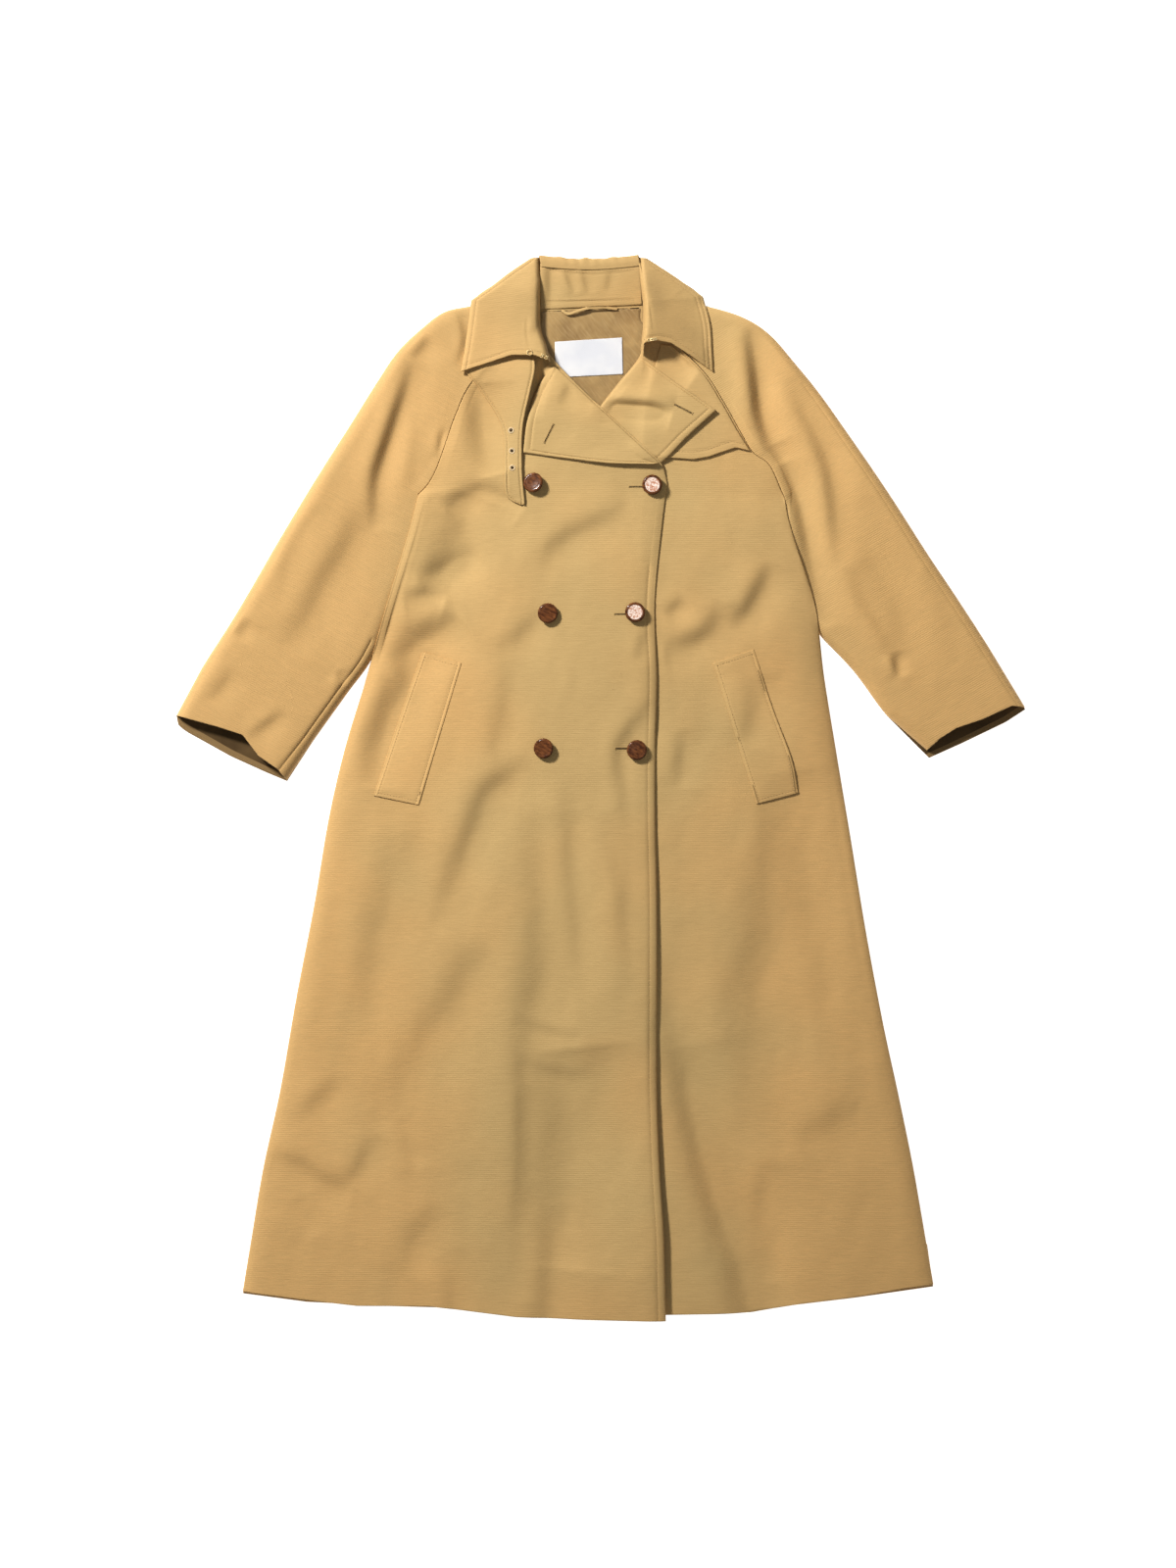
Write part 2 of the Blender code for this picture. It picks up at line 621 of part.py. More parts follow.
def build_coat():
    collection = bpy.data.collections.new("raincoat")
    bpy.context.scene.collection.children.link(collection)
    coat = (collection, Pile())
    fall_back(coat)
    flat_right = [line._replace(left_z=0, right_z=0, loft=0) for line in SLEEVE_RIGHT]
    flat_left = [line._replace(left_z=0, right_z=0, loft=0) for line in SLEEVE_LEFT]
    lay_piece("sleeve_back_right", flat_right, SLEEVE_COLUMNS, CLOTH_DEEP, coat, edge=CUFF_RIGHT_LOWER)
    lay_piece("sleeve_back_left", flat_left, SLEEVE_COLUMNS, CLOTH_DEEP, coat, edge=CUFF_LEFT_LOWER)
    lay_piece(
        "sleeve_front_right", SLEEVE_RIGHT, SLEEVE_COLUMNS, CLOTH_BRIGHT, coat,
        edge=CUFF_RIGHT_UPPER, folds=SLEEVE_FOLDS,
    )
    lay_piece(
        "sleeve_front_left", SLEEVE_LEFT, SLEEVE_COLUMNS, CLOTH_BRIGHT, coat,
        edge=CUFF_LEFT_UPPER, folds=SLEEVE_FOLDS,
    )
    lay_piece("back", BACK, BACK_COLUMNS, CLOTH_DEEP, coat, edge=BACK_HEM)
    lay_piece("lining_neck", LINING_NECK, 6, LINING, coat, wall=SATIN, lies=True)
    lay_piece("label", LABEL, 3, WHITE_SATIN, coat, wall=LABEL_WALL, lies=True)
    lay_piece("front_left", FRONT_LEFT, FRONT_COLUMNS, CLOTH, coat, edge=HEM_LEFT, folds=FRONT_FOLDS)
    lay_piece("storm_flap", STORM_FLAP, 6, CLOTH_BRIGHT, coat, edge=STORM_FLAP_EDGE, lies=True)
    lay_piece("lapel_left", LAPEL_LEFT, LAPEL_COLUMNS, CLOTH_BRIGHT, coat, lies=True)
    lay_piece("front_right", FRONT_RIGHT, FRONT_COLUMNS, CLOTH, coat, edge=HEM_RIGHT, folds=FRONT_FOLDS)
    lay_piece("lapel_right", LAPEL_RIGHT, LAPEL_COLUMNS, CLOTH_BRIGHT, coat, lies=True)
    lay_piece("throat_latch", THROAT_LATCH, 3, CLOTH_BRIGHT, coat, lies=True)
    lay_piece("collar_stand", COLLAR_STAND, 8, CLOTH, coat)
    lay_piece("hanger_loop", HANGER_LOOP, 2, CLOTH, coat, lies=True)
    lay_piece("collar_leaf_right", LEAF_RIGHT, LEAF_COLUMNS, CLOTH_BRIGHT, coat, edge=LEAF_RIGHT_EDGE)
    lay_piece("collar_leaf_left", LEAF_LEFT, LEAF_COLUMNS, CLOTH_BRIGHT, coat, edge=LEAF_LEFT_EDGE)
    lay_piece("pocket_welt_right", WELT_RIGHT, 3, CLOTH_BRIGHT, coat, wall=WELT_WALL, lies=True)
    lay_piece("pocket_welt_left", WELT_LEFT, 3, CLOTH_BRIGHT, coat, wall=WELT_WALL, lies=True)
    for button in BUTTONS:
        sew_button(button, coat)
    return collection


def centre(collection):
    """Moves the coat so that the middle of its box is over the origin."""
    graph = bpy.context.evaluated_depsgraph_get()
    corners = []
    for made in collection.objects:
        evaluated = made.evaluated_get(graph)
        corners += [evaluated.matrix_world @ Vector(corner) for corner in evaluated.bound_box]
    for made in collection.objects:
        for axis in (0, 1):
            values = [corner[axis] for corner in corners]
            made.location[axis] -= (min(values) + max(values)) / 2


for item in list(bpy.data.objects):
    bpy.data.objects.remove(item)
centre(build_coat())
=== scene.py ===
"""The looks of a double-breasted raincoat laid flat on its back.

Right and left are the wearer's. The fixed frame holds the coat's solids. Each cloth solid is replaced by a
thin shell on the same outline, laid on the shells under it, with its creases, rolled edges and sewing.
Tables and sizes are in millimetres, X to the wearer's left, Y towards the collar and Z up from the surface.
"""

from collections import namedtuple
from math import ceil, cos, hypot, pi, radians, sin

import bpy
import numpy as np
from mathutils import Euler, Matrix, Vector
from mathutils.bvhtree import BVHTree


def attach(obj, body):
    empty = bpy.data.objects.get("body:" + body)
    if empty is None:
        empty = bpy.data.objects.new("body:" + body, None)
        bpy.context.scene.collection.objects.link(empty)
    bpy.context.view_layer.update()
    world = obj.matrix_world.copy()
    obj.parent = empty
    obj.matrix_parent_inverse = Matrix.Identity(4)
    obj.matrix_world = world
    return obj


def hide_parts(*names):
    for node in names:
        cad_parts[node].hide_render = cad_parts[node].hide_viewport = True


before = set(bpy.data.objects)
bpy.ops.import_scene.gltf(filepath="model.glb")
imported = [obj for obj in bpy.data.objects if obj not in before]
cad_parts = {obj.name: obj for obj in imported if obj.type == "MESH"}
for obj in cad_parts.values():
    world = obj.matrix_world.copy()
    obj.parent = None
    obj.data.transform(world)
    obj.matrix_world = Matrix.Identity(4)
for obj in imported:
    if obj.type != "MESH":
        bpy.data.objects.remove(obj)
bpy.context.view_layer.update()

MM = 0.001

# Walls, and how they lie on each other
GABARDINE = 1.6
TURNED_EDGE = 2.2
WELT_WALL = 0.5
LOOP_WALL = 1.2
STAND_WALL = 1.0
SATIN = 0.8
LAY_GAP = 0.3
WELT_GAP = 0.1
EDGE_ROUND = 0.6
EDGE_STEPS = (0.0, 0.25, 0.7, 1.5, 2.8)
FOLD_INSET = 3.5
FOLD_WIDTH = 2.8
# How many lines of a sleeve back's inner face, at the cuff, take the facing painted dark for the shade inside
# the cuff
SHADED_FACING_LINES = 5
NARROWEST_CUT = 10.0
ROLL_WIDTH = 7.0
BEND_ROUNDS = 12
CREASE_INSET = 12.0
WAVE_INSET = 30.0
TURNED_OVER = [0, 3, 2, 1]

# Sewing
STITCH_LENGTH = 2.4
STITCH_PITCH = 3.5
STITCH_RISE = 0.08
THREAD_RADIUS = 0.26
SEAM_DEPTH = 0.6
JOIN_DEPTH = 1.2
WELT_DEPTH = 0.25
SEAM_WIDTH = 1.1
SEAM_STEPS = (-1.6, -0.8, 0.0, 0.8, 1.6)
STITCHED = (
    "front_right", "lapel_right", "lapel_left", "storm_flap", "throat_latch", "collar_leaf_right",
    "collar_leaf_left", "pocket_welt_right", "pocket_welt_left",
)
STAND_STITCHES = [[(-68, 607), (-20, 603), (44, 607)], [(-68, 571), (-20, 571), (44, 571)]]

# Buttonholes and eyelets: how far their threads reach from the middle, how high they stand and how thick
# they are
BAR_PITCH = 0.7
BAR_REACH = (0.25, 1.35)
BAR_RISE = 0.1
BAR_RADIUS = 0.34
TACK_REACH = (-1.5, 1.5)
TACK_RISE = 0.25
TACK_RADIUS = 0.45
# A buttonhole's slit is a dark rod of painted shade laid over the cloth: how high it stands and how thick it
# is
SLIT_RISE = 0.05
SLIT_RADIUS = 0.3
EYELET_BARS = 22
EYELET_REACH = (1.9, 3.9)
EYELET_RISE = 0.15
# An eyelet's hole is dark spokes of painted shade across it: how many, how far they reach and how high they
# stand
EYELET_SPOKES = 8
EYELET_HOLE = (-1.8, 1.8)
HOLE_RISE = 0.2
EYELET_RADIUS = 0.5

# A line across a piece: its two ends, their heights, its rise between them, and if the outline turns there
Row = namedtuple("Row", "left_x left_y right_x right_y left_z right_z loft corner", defaults=(0, 0, 0, False))
Crease = namedtuple("Crease", "depth width path crest", defaults=(0.6,))
# A sewn line along one side of a piece, between two shares of that side's length
Seam = namedtuple("Seam", "side inset start end depth", defaults=(0, 1, SEAM_DEPTH))
Ripple = namedtuple("Ripple", "height across down seed")
Button = namedtuple("Button", "name x y tilt_x tilt_y look")
Buttonhole = namedtuple("Buttonhole", "start end piece")
Hook = namedtuple("Hook", "piece x y angle eye leg")
FallLine = namedtuple("FallLine", "left_x right_x left_y right_y height dip")


# Outlines: each piece from its collar end to its hem, a row for each section

SLEEVE_RIGHT = [
    Row(-77, 575, -75, 544, 2, 4, 1),
    Row(-107, 572, -101, 527, 1, 6, 3),
    Row(-154, 564, -151, 474, 1, 5, 5),
    Row(-184, 557, -170, 436, 1, 4, 6),
    Row(-210, 538, -183, 399, 1, 3, 7),
    Row(-238, 511, -192, 374, 1, 2, 8),
    Row(-262, 476, -202, 355, 1, 1.5, 9),
    Row(-292, 428, -214, 342, 1, -1, 10, True),
    Row(-322, 381, -208, 322, 1, -3, 12),
    Row(-345, 344, -220, 277, 1, -3, 12),
    Row(-378, 289, -238, 217, 1, -2, 12),
    Row(-412, 230, -268, 151, 1, 1, 12),
    Row(-436, 190, -298, 109, 1, 1, 12),
    Row(-469, 138, -338, 53, 1, 1, 12),
    Row(-498, 84, -368, 8, 1, 1, 13),
]
CUFF_RIGHT_UPPER = [(-498, 84), (-447, 70), (-419, 61), (-400, 36), (-378, 21), (-368, 8)]
CUFF_RIGHT_LOWER = [(-498, 84), (-496, 73), (-488, 66), (-434, 36), (-392, 17), (-368, 7)]

SLEEVE_LEFT = [
    Row(51, 546, 51, 575, 4, 2, 1),
    Row(77, 529, 82, 572, 6, 1, 3),
    Row(121, 486, 125, 564, 5, 1, 5),
    Row(144, 451, 167, 551, 4, 1, 6),
    Row(163, 417, 198, 531, 2, 1, 8),
    Row(178, 392, 227, 498, 1, 1, 9),
    Row(198, 376, 257, 461, 1, 1, 9),
    Row(215, 339, 291, 413, 1, 1, 10, True),
    Row(214, 297, 318, 374, 1, 1, 12),
    Row(227, 254, 346, 332, 1, 1, 12),
    Row(247, 192, 383, 274, 1, 1, 12),
    Row(297, 135, 419, 220, 1, 1, 12),
    Row(335, 84, 457, 161, 1, 1, 12),
    Row(382, 36, 498, 93, 1, 1, 12),
]
CUFF_LEFT_UPPER = [(382, 43), (397, 57), (416, 69), (446, 79), (481, 95), (498, 93)]
CUFF_LEFT_LOWER = [(385, 34), (423, 51), (475, 76), (498, 91)]

BACK = [
    Row(-74, 559, 50, 564),
    Row(-74, 543, 50, 545),
    Row(-100, 526, 76, 528),
    Row(-150, 473.5, 120, 485.5),
    Row(-169, 436, 143, 451),
    Row(-182, 399, 162, 417),
    Row(-191, 374, 177, 392),
    Row(-201, 355, 197, 376),
    Row(-213, 342, 214, 339, corner=True),
    Row(-224, 297, 226, 293),
    Row(-236, 262, 239, 258),
    Row(-258, 180, 257, 180),
    Row(-293, 68, 273, 68),
    Row(-319, -36, 289, -36),
    Row(-341, -156, 309, -156),
    Row(-364, -282, 332, -282),
    Row(-388, -409, 359, -409),
    Row(-410, -530, 382, -530),
    Row(-420, -594, 390, -586),
]
BACK_HEM = [(-420, -594), (-345, -604), (-250, -609), (0, -616), (200, -611), (300, -599), (390, -586)]

FRONT_RIGHT = [
    Row(-100.5, 527, -74, 524, 8, 5, 1),
    Row(-150.5, 474, -51, 496, 8, 7, 1),
    Row(-169.5, 436, -17, 461, 8, 9, 2),
    Row(-182.5, 399, 15, 431, 8, 9.5, 3),
    Row(-191.5, 374, 45, 403, 8, 10, 3),
    Row(-201.5, 355, 71, 378, 8, 11, 3),
    Row(-213.5, 342, 78, 355, 9, 11, 3, True),
    Row(-225, 297, 72, 310, 3, 10.5, 6),
    Row(-250, 215, 63, 216, 1.5, 9, 7),
    Row(-275, 128, 66, 128, 1.5, 10.5, 7),
    Row(-300, 46, 64, 45, 1.5, 10, 7),
    Row(-319, -36, 64, -36, 1.5, 10.5, 7),
    Row(-336, -137, 66, -137, 1.5, 11.5, 7),
    Row(-357, -246, 66, -246, 1.5, 12, 7),
    Row(-376, -355, 66, -355, 1.5, 13.5, 7),
    Row(-396, -447, 69, -447, 1.5, 15, 7),
    Row(-410, -530, 74, -530, 1.5, 16.5, 7),
    Row(-420, -591, 76, -624, 1.5, 17, 7),
]
HEM_RIGHT = [(-420, -591), (-348, -600), (-285, -607), (-202, -607), (-100, -619), (-23, -622), (76, -624)]

FRONT_LEFT = [
    Row(48, 526, 76.5, 529, 4, 5, 1),
    Row(45, 504, 120.5, 486, 4, 7, 2),
    Row(21, 474, 143.5, 451, 5, 7, 2),
    Row(-1, 446, 162.5, 417, 5, 7, 3),
    Row(-20, 421, 177.5, 392, 5, 7, 3),
    Row(-38, 397, 197.5, 376, 5, 8, 3),
    Row(-61, 362, 214.5, 339, 5, 9, 3, True),
    Row(-78, 310, 223, 300, 3, 12, 4),
    Row(-86, 215, 250, 215, 2, 11, 5),
    Row(-87, 128, 262, 128, 1, 4, 7),
    Row(-87, 36, 277, 36, 1, 2, 8),
    Row(-87, -60, 293, -60, 1, 2, 8),
    Row(-87, -170, 311, -170, 1, 2, 8),
    Row(-87, -277, 331, -277, 1, 2, 8),
    Row(-87, -370, 351, -370, 1, 2, 8),
    Row(-87, -460, 369, -460, 1, 2, 8),
    Row(-87, -622, 390, -583, 1, 2, 8),
]
HEM_LEFT = [(-87, -622), (78, -618), (177, -616), (236, -605), (304, -596), (361, -586), (390, -583)]

LAPEL_RIGHT = [
    Row(-59, 490, -54, 492, 2, 2, 0),
    Row(-75, 465, -28, 468, 1.5, 2, 1.5),
    Row(-86, 431, -8, 449, 1, 1, 2),
    Row(-91, 391, 14, 428.5, 0, 1, 1, True),
    Row(-49, 385, 36, 408, 0.4, 1, 1),
    Row(8, 378, 53, 392, 3, 2, 1),
    Row(60, 377, 68, 378, 5, 3, 0),
]
LAPEL_LEFT = [
    Row(47, 502, 53, 499, 1, 2, 0),
    Row(33, 486, 91, 471, 1, 1, 2),
    Row(17, 467, 135, 440, 1, 2.2, 2, True),
    Row(-1, 444, 103, 411, 2, 1.5, 1.5),
    Row(-19, 420, 71, 379, 2, 0, 1),
    Row(-36, 394, 31, 351, 2, 0, 1),
    Row(-48, 377, -15, 347, 1, 0, 0),
    Row(-58, 364, -52, 359, 0, 0, 0),
]
STORM_FLAP = [
    Row(70, 519, 83, 517),
    Row(62, 486, 117.5, 486, 0, 0, 0.6),
    Row(54, 451, 140.5, 451, 0, 0, 0.8),
    Row(50, 417, 159.5, 417, 0.5, 0.5, 1),
    Row(48, 392, 174.5, 393, 0.4, 0.6, 1),
]
STORM_FLAP_EDGE = [(48, 392), (80, 385), (108, 383), (126, 386), (137, 390), (158, 397), (174.5, 393)]

THROAT_LATCH = [
    Row(-160, 510, -78, 508),
    Row(-161, 490, -77, 487, 0, 8, 0),
    Row(-140, 463, -82, 463, 0, 9, 0),
    Row(-116, 421, -91, 421, 0.8, 5, 0.5),
    Row(-113, 375, -92, 375, 0.8, 2, 0.5),
    Row(-112, 345, -90, 345, 0.8, 1.2, 0),
    Row(-106, 336, -89, 336, 1, 1.2, 0),
    Row(-94, 330, -89, 330, 1.2, 1.4, 0),
]

WELT_RIGHT = [
    Row(-209, 158, -163, 145, 0, 0, 0.3),
    Row(-237, 78, -188, 62, 0, 0, 0.3),
    Row(-266, -10, -213, -21, 0.8, 0.6, 0.2),
]
WELT_LEFT = [
    Row(131, 145, 179, 161, 0, 0, 0.3),
    Row(147, 94, 201, 93, 0, 0.8, 0.5),
    Row(165, 35, 223, 33, 0, 1.6, 0.6),
    Row(182, -20, 231, -7, 0.4, 1.2, 0.4),
]

LINING_NECK = [
    Row(-71.5, 557, 48, 561),
    Row(-72, 545, 48, 547),
    Row(-84, 525, 60, 527),
    Row(-66, 486, 42, 486),
    Row(-32, 450, 16, 450),
    Row(-10, 428, 0, 428),
]
LABEL = [
    Row(-54, 522, 25, 527),
    Row(-53, 480, 26, 484),
]
HANGER_LOOP = [
    Row(-46.5, 557.5, -45, 560.5, 0.4, 0.2, 0.2),
    Row(-38.5, 552.8, -37.5, 556.2, 2.0, 1.6, 0.3),
    Row(-26, 556, -26.5, 559.6, 3.6, 3.2, 0.3),
    Row(-14, 559.3, -14, 563, 4.2, 3.8, 0.3),
    Row(4, 560, 4, 563.7, 3.6, 3.2, 0.3),
    Row(19.5, 558.6, 20, 562, 0.4, 0.2, 0.2),
]
COLLAR_STAND = [
    Row(-71, 613.5, 46, 614.5, 4.0, 4.0, 0),
    Row(-71, 603, 46, 605, 5.4, 5.4, 0),
    Row(-71, 566, 48, 571, 3.2, 3.2, 0),
    Row(-71, 560, 48, 565.5, 2.4, 2.4, 0),
]
LEAF_RIGHT = [
    Row(-82, 620, -72, 621, 3, 5, 1),
    Row(-106, 604, -71, 594, 4, 9, 3),
    Row(-128, 587, -71, 580, 5, 10, 5),
    Row(-152, 570, -71, 566, 6, 10, 5, True),
    Row(-156, 538, -70, 538, 8, 10, 5),
    Row(-160, 509, -63, 515, 11, 16, 4),
    Row(-164, 485, -59, 497, 14, 20, 3),
]
LEAF_RIGHT_EDGE = [(-164, 485), (-135, 494), (-105, 504), (-78, 504), (-59, 497)]
LEAF_LEFT = [
    Row(44, 621, 54, 620, 4, 2, 1),
    Row(46, 594, 88, 598, 15, 1, 3),
    Row(49, 566, 120, 575, 21, 1, 4, True),
    Row(49, 544, 128, 542, 24, 3, 4),
    Row(48, 528, 130, 513, 26, 6, 4),
    Row(46, 508, 131.5, 485, 27, 10, 3),
]
LEAF_LEFT_EDGE = [(46, 508), (51, 517.5), (65, 520.5), (82, 518), (107, 502.5), (131.5, 485)]

# The collar's fall goes over the roll at the back of the neck and then lies flat under the coat
FALL_SECTION = [
    FallLine(-70, 46, 609.5, 610.5, 6.3, 4.0),
    FallLine(-71, 45, 616, 617, 6.5, 4.0),
    FallLine(-72, 44, 621.5, 622, 5.2, 4.0),
    FallLine(-72.5, 44.5, 622.7, 623.2, 3.6, 3.5),
    FallLine(-74, 46, 620.5, 621, 1.6, 3.5),
    FallLine(-89, 60, 615, 615, 0.8, 0),
    FallLine(-120, 90, 593, 596, 0.8, 0),
    FallLine(-150, 118, 570, 574, 0.8, 0),
    FallLine(-149, 116, 538, 538, 0.8, 0),
]
FALL_STEPS = 5
FALL_COLUMNS = 96
ROLL_LINE = 2.5
ROLL_REACH = 1.4

# Creases: how deep, how wide on their steep side, the line of that side, which faces down and right, and
# how much of the depth rises as a crest before it. A depth under 0 is the rise of a ridge

BODY_CREASES = [
    Crease(7.0, 12, ((52, 520), (75, 516), (100, 500), (118, 488)), 0.0),
    Crease(-3.0, 20, ((-206, 338), (-222, 297), (-240, 240), (-254, 190)), 0.0),
    Crease(6.0, 5, ((-66, 512), (-72, 490), (-78, 460), (-86, 432)), 0.0),
    Crease(6.5, 12, ((-186, 328), (-165, 343), (-140, 352), (-113, 345), (-88, 328)), 0.1),
    Crease(9.0, 19, ((-151, 474), (-150, 430), (-146, 400), (-138, 362)), 0.2),
    Crease(7.5, 28, ((-160, 345), (-176, 305), (-192, 268), (-216, 232)), 0.15),
    Crease(4.5, 13, ((-146, 282), (-180, 264), (-216, 246)), 0.2),
    Crease(4.5, 10, ((-231, 226), (-205, 229), (-181, 222)), 0.3),
    Crease(9.0, 20, ((-166, 206), (-196, 189), (-224, 172), (-252, 150)), 0.15),
    Crease(9.0, 21, ((-222, 168), (-238, 126), (-254, 92), (-269, 52), (-277, 0)), 0.25),
    Crease(3.2, 15, ((34, 337), (5, 317), (-34, 300), (-60, 280), (-72, 250))),
    Crease(2.2, 14, ((-68, 203), (-96, 182), (-124, 160))),
    Crease(2.2, 15, ((-112, 150), (-118, 100), (-126, 60), (-134, 20))),
    Crease(4.5, 17, ((-80, 34), (-110, 18), (-138, -5), (-153, -43), (-176, -100), (-200, -170))),
    Crease(1.2, 8, ((51, 184), (39, 145))),
    Crease(3.0, 12, ((62, 104), (34, 70), (18, 42), (21, 5), (33, -53))),
    Crease(2.2, 15, ((-9, -37), (20, -106), (25, -175), (31, -250))),
    Crease(2.2, 13, ((-44, 9), (-38, -89), (-32, -158), (-26, -250))),
    Crease(3.2, 26, ((-228, -48), (-251, -94), (-262, -146), (-279, -215), (-290, -310))),
    Crease(3.2, 24, ((-130, -186), (-159, -204), (-187, -250), (-210, -284), (-239, -342), (-256, -395))),
    Crease(4.5, 24, ((-84, -31), (-78, -120), (-78, -204), (-92, -270), (-97, -350), (-97, -460))),
    Crease(2.6, 20, ((-97, -350), (-90, -450), (-100, -520), (-104, -600)), 0.3),
    Crease(1.1, 8, ((-100, -267), (-65, -283), (-20, -290))),
    Crease(1.2, 9, ((-98, -316), (-55, -332), (-10, -334))),
    Crease(12.0, 40, ((-66, -310), (-58, -380), (-56, -460), (-66, -560)), 0.1),
    Crease(3.2, 16, ((-67, -490), (-67, -583), (-78, -680))),
    Crease(1.0, 8, ((-97, -300), (-96, -380), (-98, -450), (-104, -520))),
    Crease(3.2, 14, ((-391, -425), (-352, -438), (-318, -459), (-290, -466))),
    Crease(2.0, 13, ((-296, -462), (-280, -434), (-270, -405))),
    Crease(1.8, 13, ((-350, -392), (-335, -365), (-300, -335))),
    Crease(1.6, 10, ((-242, -390), (-226, -430), (-216, -450))),
    Crease(2.0, 16, ((-193, -485), (-222, -526), (-230, -570))),
    Crease(1.8, 16, ((-180, -540), (-178, -680))),
    Crease(1.4, 14, ((-366, -487), (-345, -530))),
    Crease(4.5, 13, ((195, 264), (184, 237), (169, 210), (150, 187))),
    Crease(4.0, 14, ((135, 218), (126, 187), (100, 172), (74, 168))),
    Crease(2.5, 10, ((97, 222), (74, 202))),
    Crease(2.5, 12, ((89, 66), (91, 35), (89, 0))),
    Crease(6.4, 33, ((181, 15), (188, -66), (182, -146), (170, -215), (164, -300), (164, -430)), 0.2),
    Crease(3.8, 28, ((200, 10), (222, -77), (238, -150), (255, -230), (273, -330)), 0.3),
    Crease(6.0, 20, ((62, -160), (80, -300), (96, -376), (112, -434), (138, -515), (158, -570), (172, -700))),
    Crease(2.4, 22, ((305, -362), (268, -388), (225, -408))),
    Crease(8.0, 28, ((80, -310), (102, -405), (120, -482), (144, -549), (168, -640), (186, -720)), 0.1),
    Crease(3.6, 17, ((186, -440), (182, -503), (181, -580)), 0.4),
    Crease(3.0, 16, ((172, 130), (174, 92), (163, 50))),
]
SLEEVE_CREASES = [
    Crease(3.0, 6, ((-170, 556), (-163, 540), (-161, 522), (-169, 492)), 0.3),
    Crease(8.5, 11, ((200, 400), (213, 370), (225, 338), (234, 300), (242, 255), (258, 186)), 0.0),
    Crease(6.5, 10, ((-222, 500), (-236, 455), (-252, 406), (-266, 360), (-268, 300))),
    Crease(4.2, 18, ((-280, 338), (-302, 287), (-329, 241), (-352, 195), (-368, 164))),
    Crease(1.5, 14, ((-325, 337), (-352, 302), (-371, 256), (-383, 210))),
    Crease(2.5, 9, ((-414, 199), (-429, 176))),
    Crease(2.0, 10, ((-432, 141), (-460, 99))),
    Crease(2.0, 8, ((-370, 90), (-394, 73), (-414, 56))),
    Crease(2.0, 5, ((-310, 133), (-302, 118))),
    Crease(2.0, 6, ((-187, 420), (-191, 385))),
    Crease(2.5, 9, ((-202, 529), (-222, 501))),
    Crease(1.5, 12, ((-214, 483), (-222, 394), (-225, 348))),
    Crease(8.0, 11, ((169, 540), (177, 483), (184, 430), (204, 376))),
    Crease(4.5, 12, ((212, 474), (242, 420), (262, 370), (270, 310), (275, 258))),
    Crease(2.6, 18, ((284, 329), (307, 271), (330, 225), (353, 164), (366, 116))),
    Crease(2.8, 12, ((290, 262), (301, 220), (326, 182), (345, 140))),
    Crease(3.5, 6, ((340, 156), (347, 128))),
    Crease(1.2, 14, ((376, 253), (414, 195))),
]
LAPEL_CREASES = [
    Crease(7.0, 8, ((2, 453), (30, 449), (60, 446), (84, 440))),
    Crease(1.5, 8, ((-34, 480), (-50, 445))),
]
COLLAR_CREASES = [
    Crease(3.2, 14, ((57, 604), (68, 563), (90, 545), (118, 510)), 0.2),
    Crease(2.0, 5, ((-70, 553), (-77, 530))),
    Crease(0.5, 1.2, ((-87, 552), (-88, 530), (-84, 508))),
    Crease(0.5, 1.2, ((51, 582), (57, 555), (60, 528))),
]
STAND_CREASES = [
    Crease(2.5, 7, ((-66, 625), (-65, 590), (-66, 555))),
    Crease(1.4, 5, ((-44, 607), (-32, 578))),
    Crease(1.2, 5, ((-24, 607), (-15, 578))),
    Crease(0.8, 5, ((10, 607), (6, 580))),
    Crease(0.5, 1.0, ((-90, 569.5), (-40, 570), (-10, 571), (70, 574.5))),
    Crease(0.4, 1.0, ((-90, 607), (-20, 602), (0, 602), (70, 608))),
]
CREASE_SHIFT = 0.7
CREASE_SLACK = 1.8
CREST_SHIFT = 0.7
CREST_SLACK = 1.6
SHADE_WAY = (0.72, -0.69)
LATTICE = 97
WAVES = [Ripple(1.0, 70, 150, 3), Ripple(0.6, 26, 60, 5)]
FINE_WAVES = [Ripple(0.22, 13, 24, 7), Ripple(0.05, 6, 9, 9)]

# The two pale-faced buttons carry a painted reflection of the lamp on their faces
BUTTONS = [
    Button("button_top_right", -78, 355, -8, -14, "horn"),
    Button("button_top_left", 60, 353, 0, 0, "painted_glare"),
    Button("button_middle_right", -62, 203, 0, 0, "horn"),
    Button("button_middle_left", 40, 204, 0, 0, "painted_glare"),
    Button("button_low_right", -66, 45, 0, -12, "horn"),
    Button("button_low_left", 42, 43, 0, 0, "horn"),
]
BUTTON_TURNS = 64
BUTTON_SPOTS = np.array([[0, 7, -7, 0, 0], [0, 0, 0, 7, -7]], float)
FACE_RADIUS = 8.5
FACE_FOOT = 5.0
# The section of a button, from the middle of its face down its outer side to the foot of its shank
BUTTON_SECTION = [
    (0.0, 6.1), (3.0, 6.15), (6.0, 6.3), (7.6, 6.45), (8.2, 6.35), (8.8, 6.6), (9.7, 6.75), (10.7, 6.4),
    (11.5, 5.5), (11.8, 4.4), (11.2, 3.1), (9.0, 2.0), (3.4, 1.6), (3.0, 0.0), (0.0, 0.0),
]
BUTTONHOLES = [
    Buttonhole((33, 351), (52, 351), "front_right"),
    Buttonhole((16, 202), (31, 202), "front_right"),
    Buttonhole((17, 45), (33, 45), "front_right"),
    Buttonhole((-55, 424), (-66, 402), "lapel_right"),
    Buttonhole((86, 447), (107, 436), "lapel_left"),
]
EYELETS = [(-105, 417), (-104, 393), (-103.5, 373)]
HOOK_WIRE = 0.7
HOOK_STEPS = 16
HOOKS = [
    Hook("collar_leaf_right", -83, 506.5, 100, 3.0, 1.0),
    Hook("collar_leaf_right", -69, 502.5, 60, 1.6, 1.5),
    Hook("collar_leaf_right", -64, 500.5, 60, 1.6, 1.5),
    Hook("collar_leaf_left", 56, 520.5, 8, 1.6, 8),
]


# Sections and paths

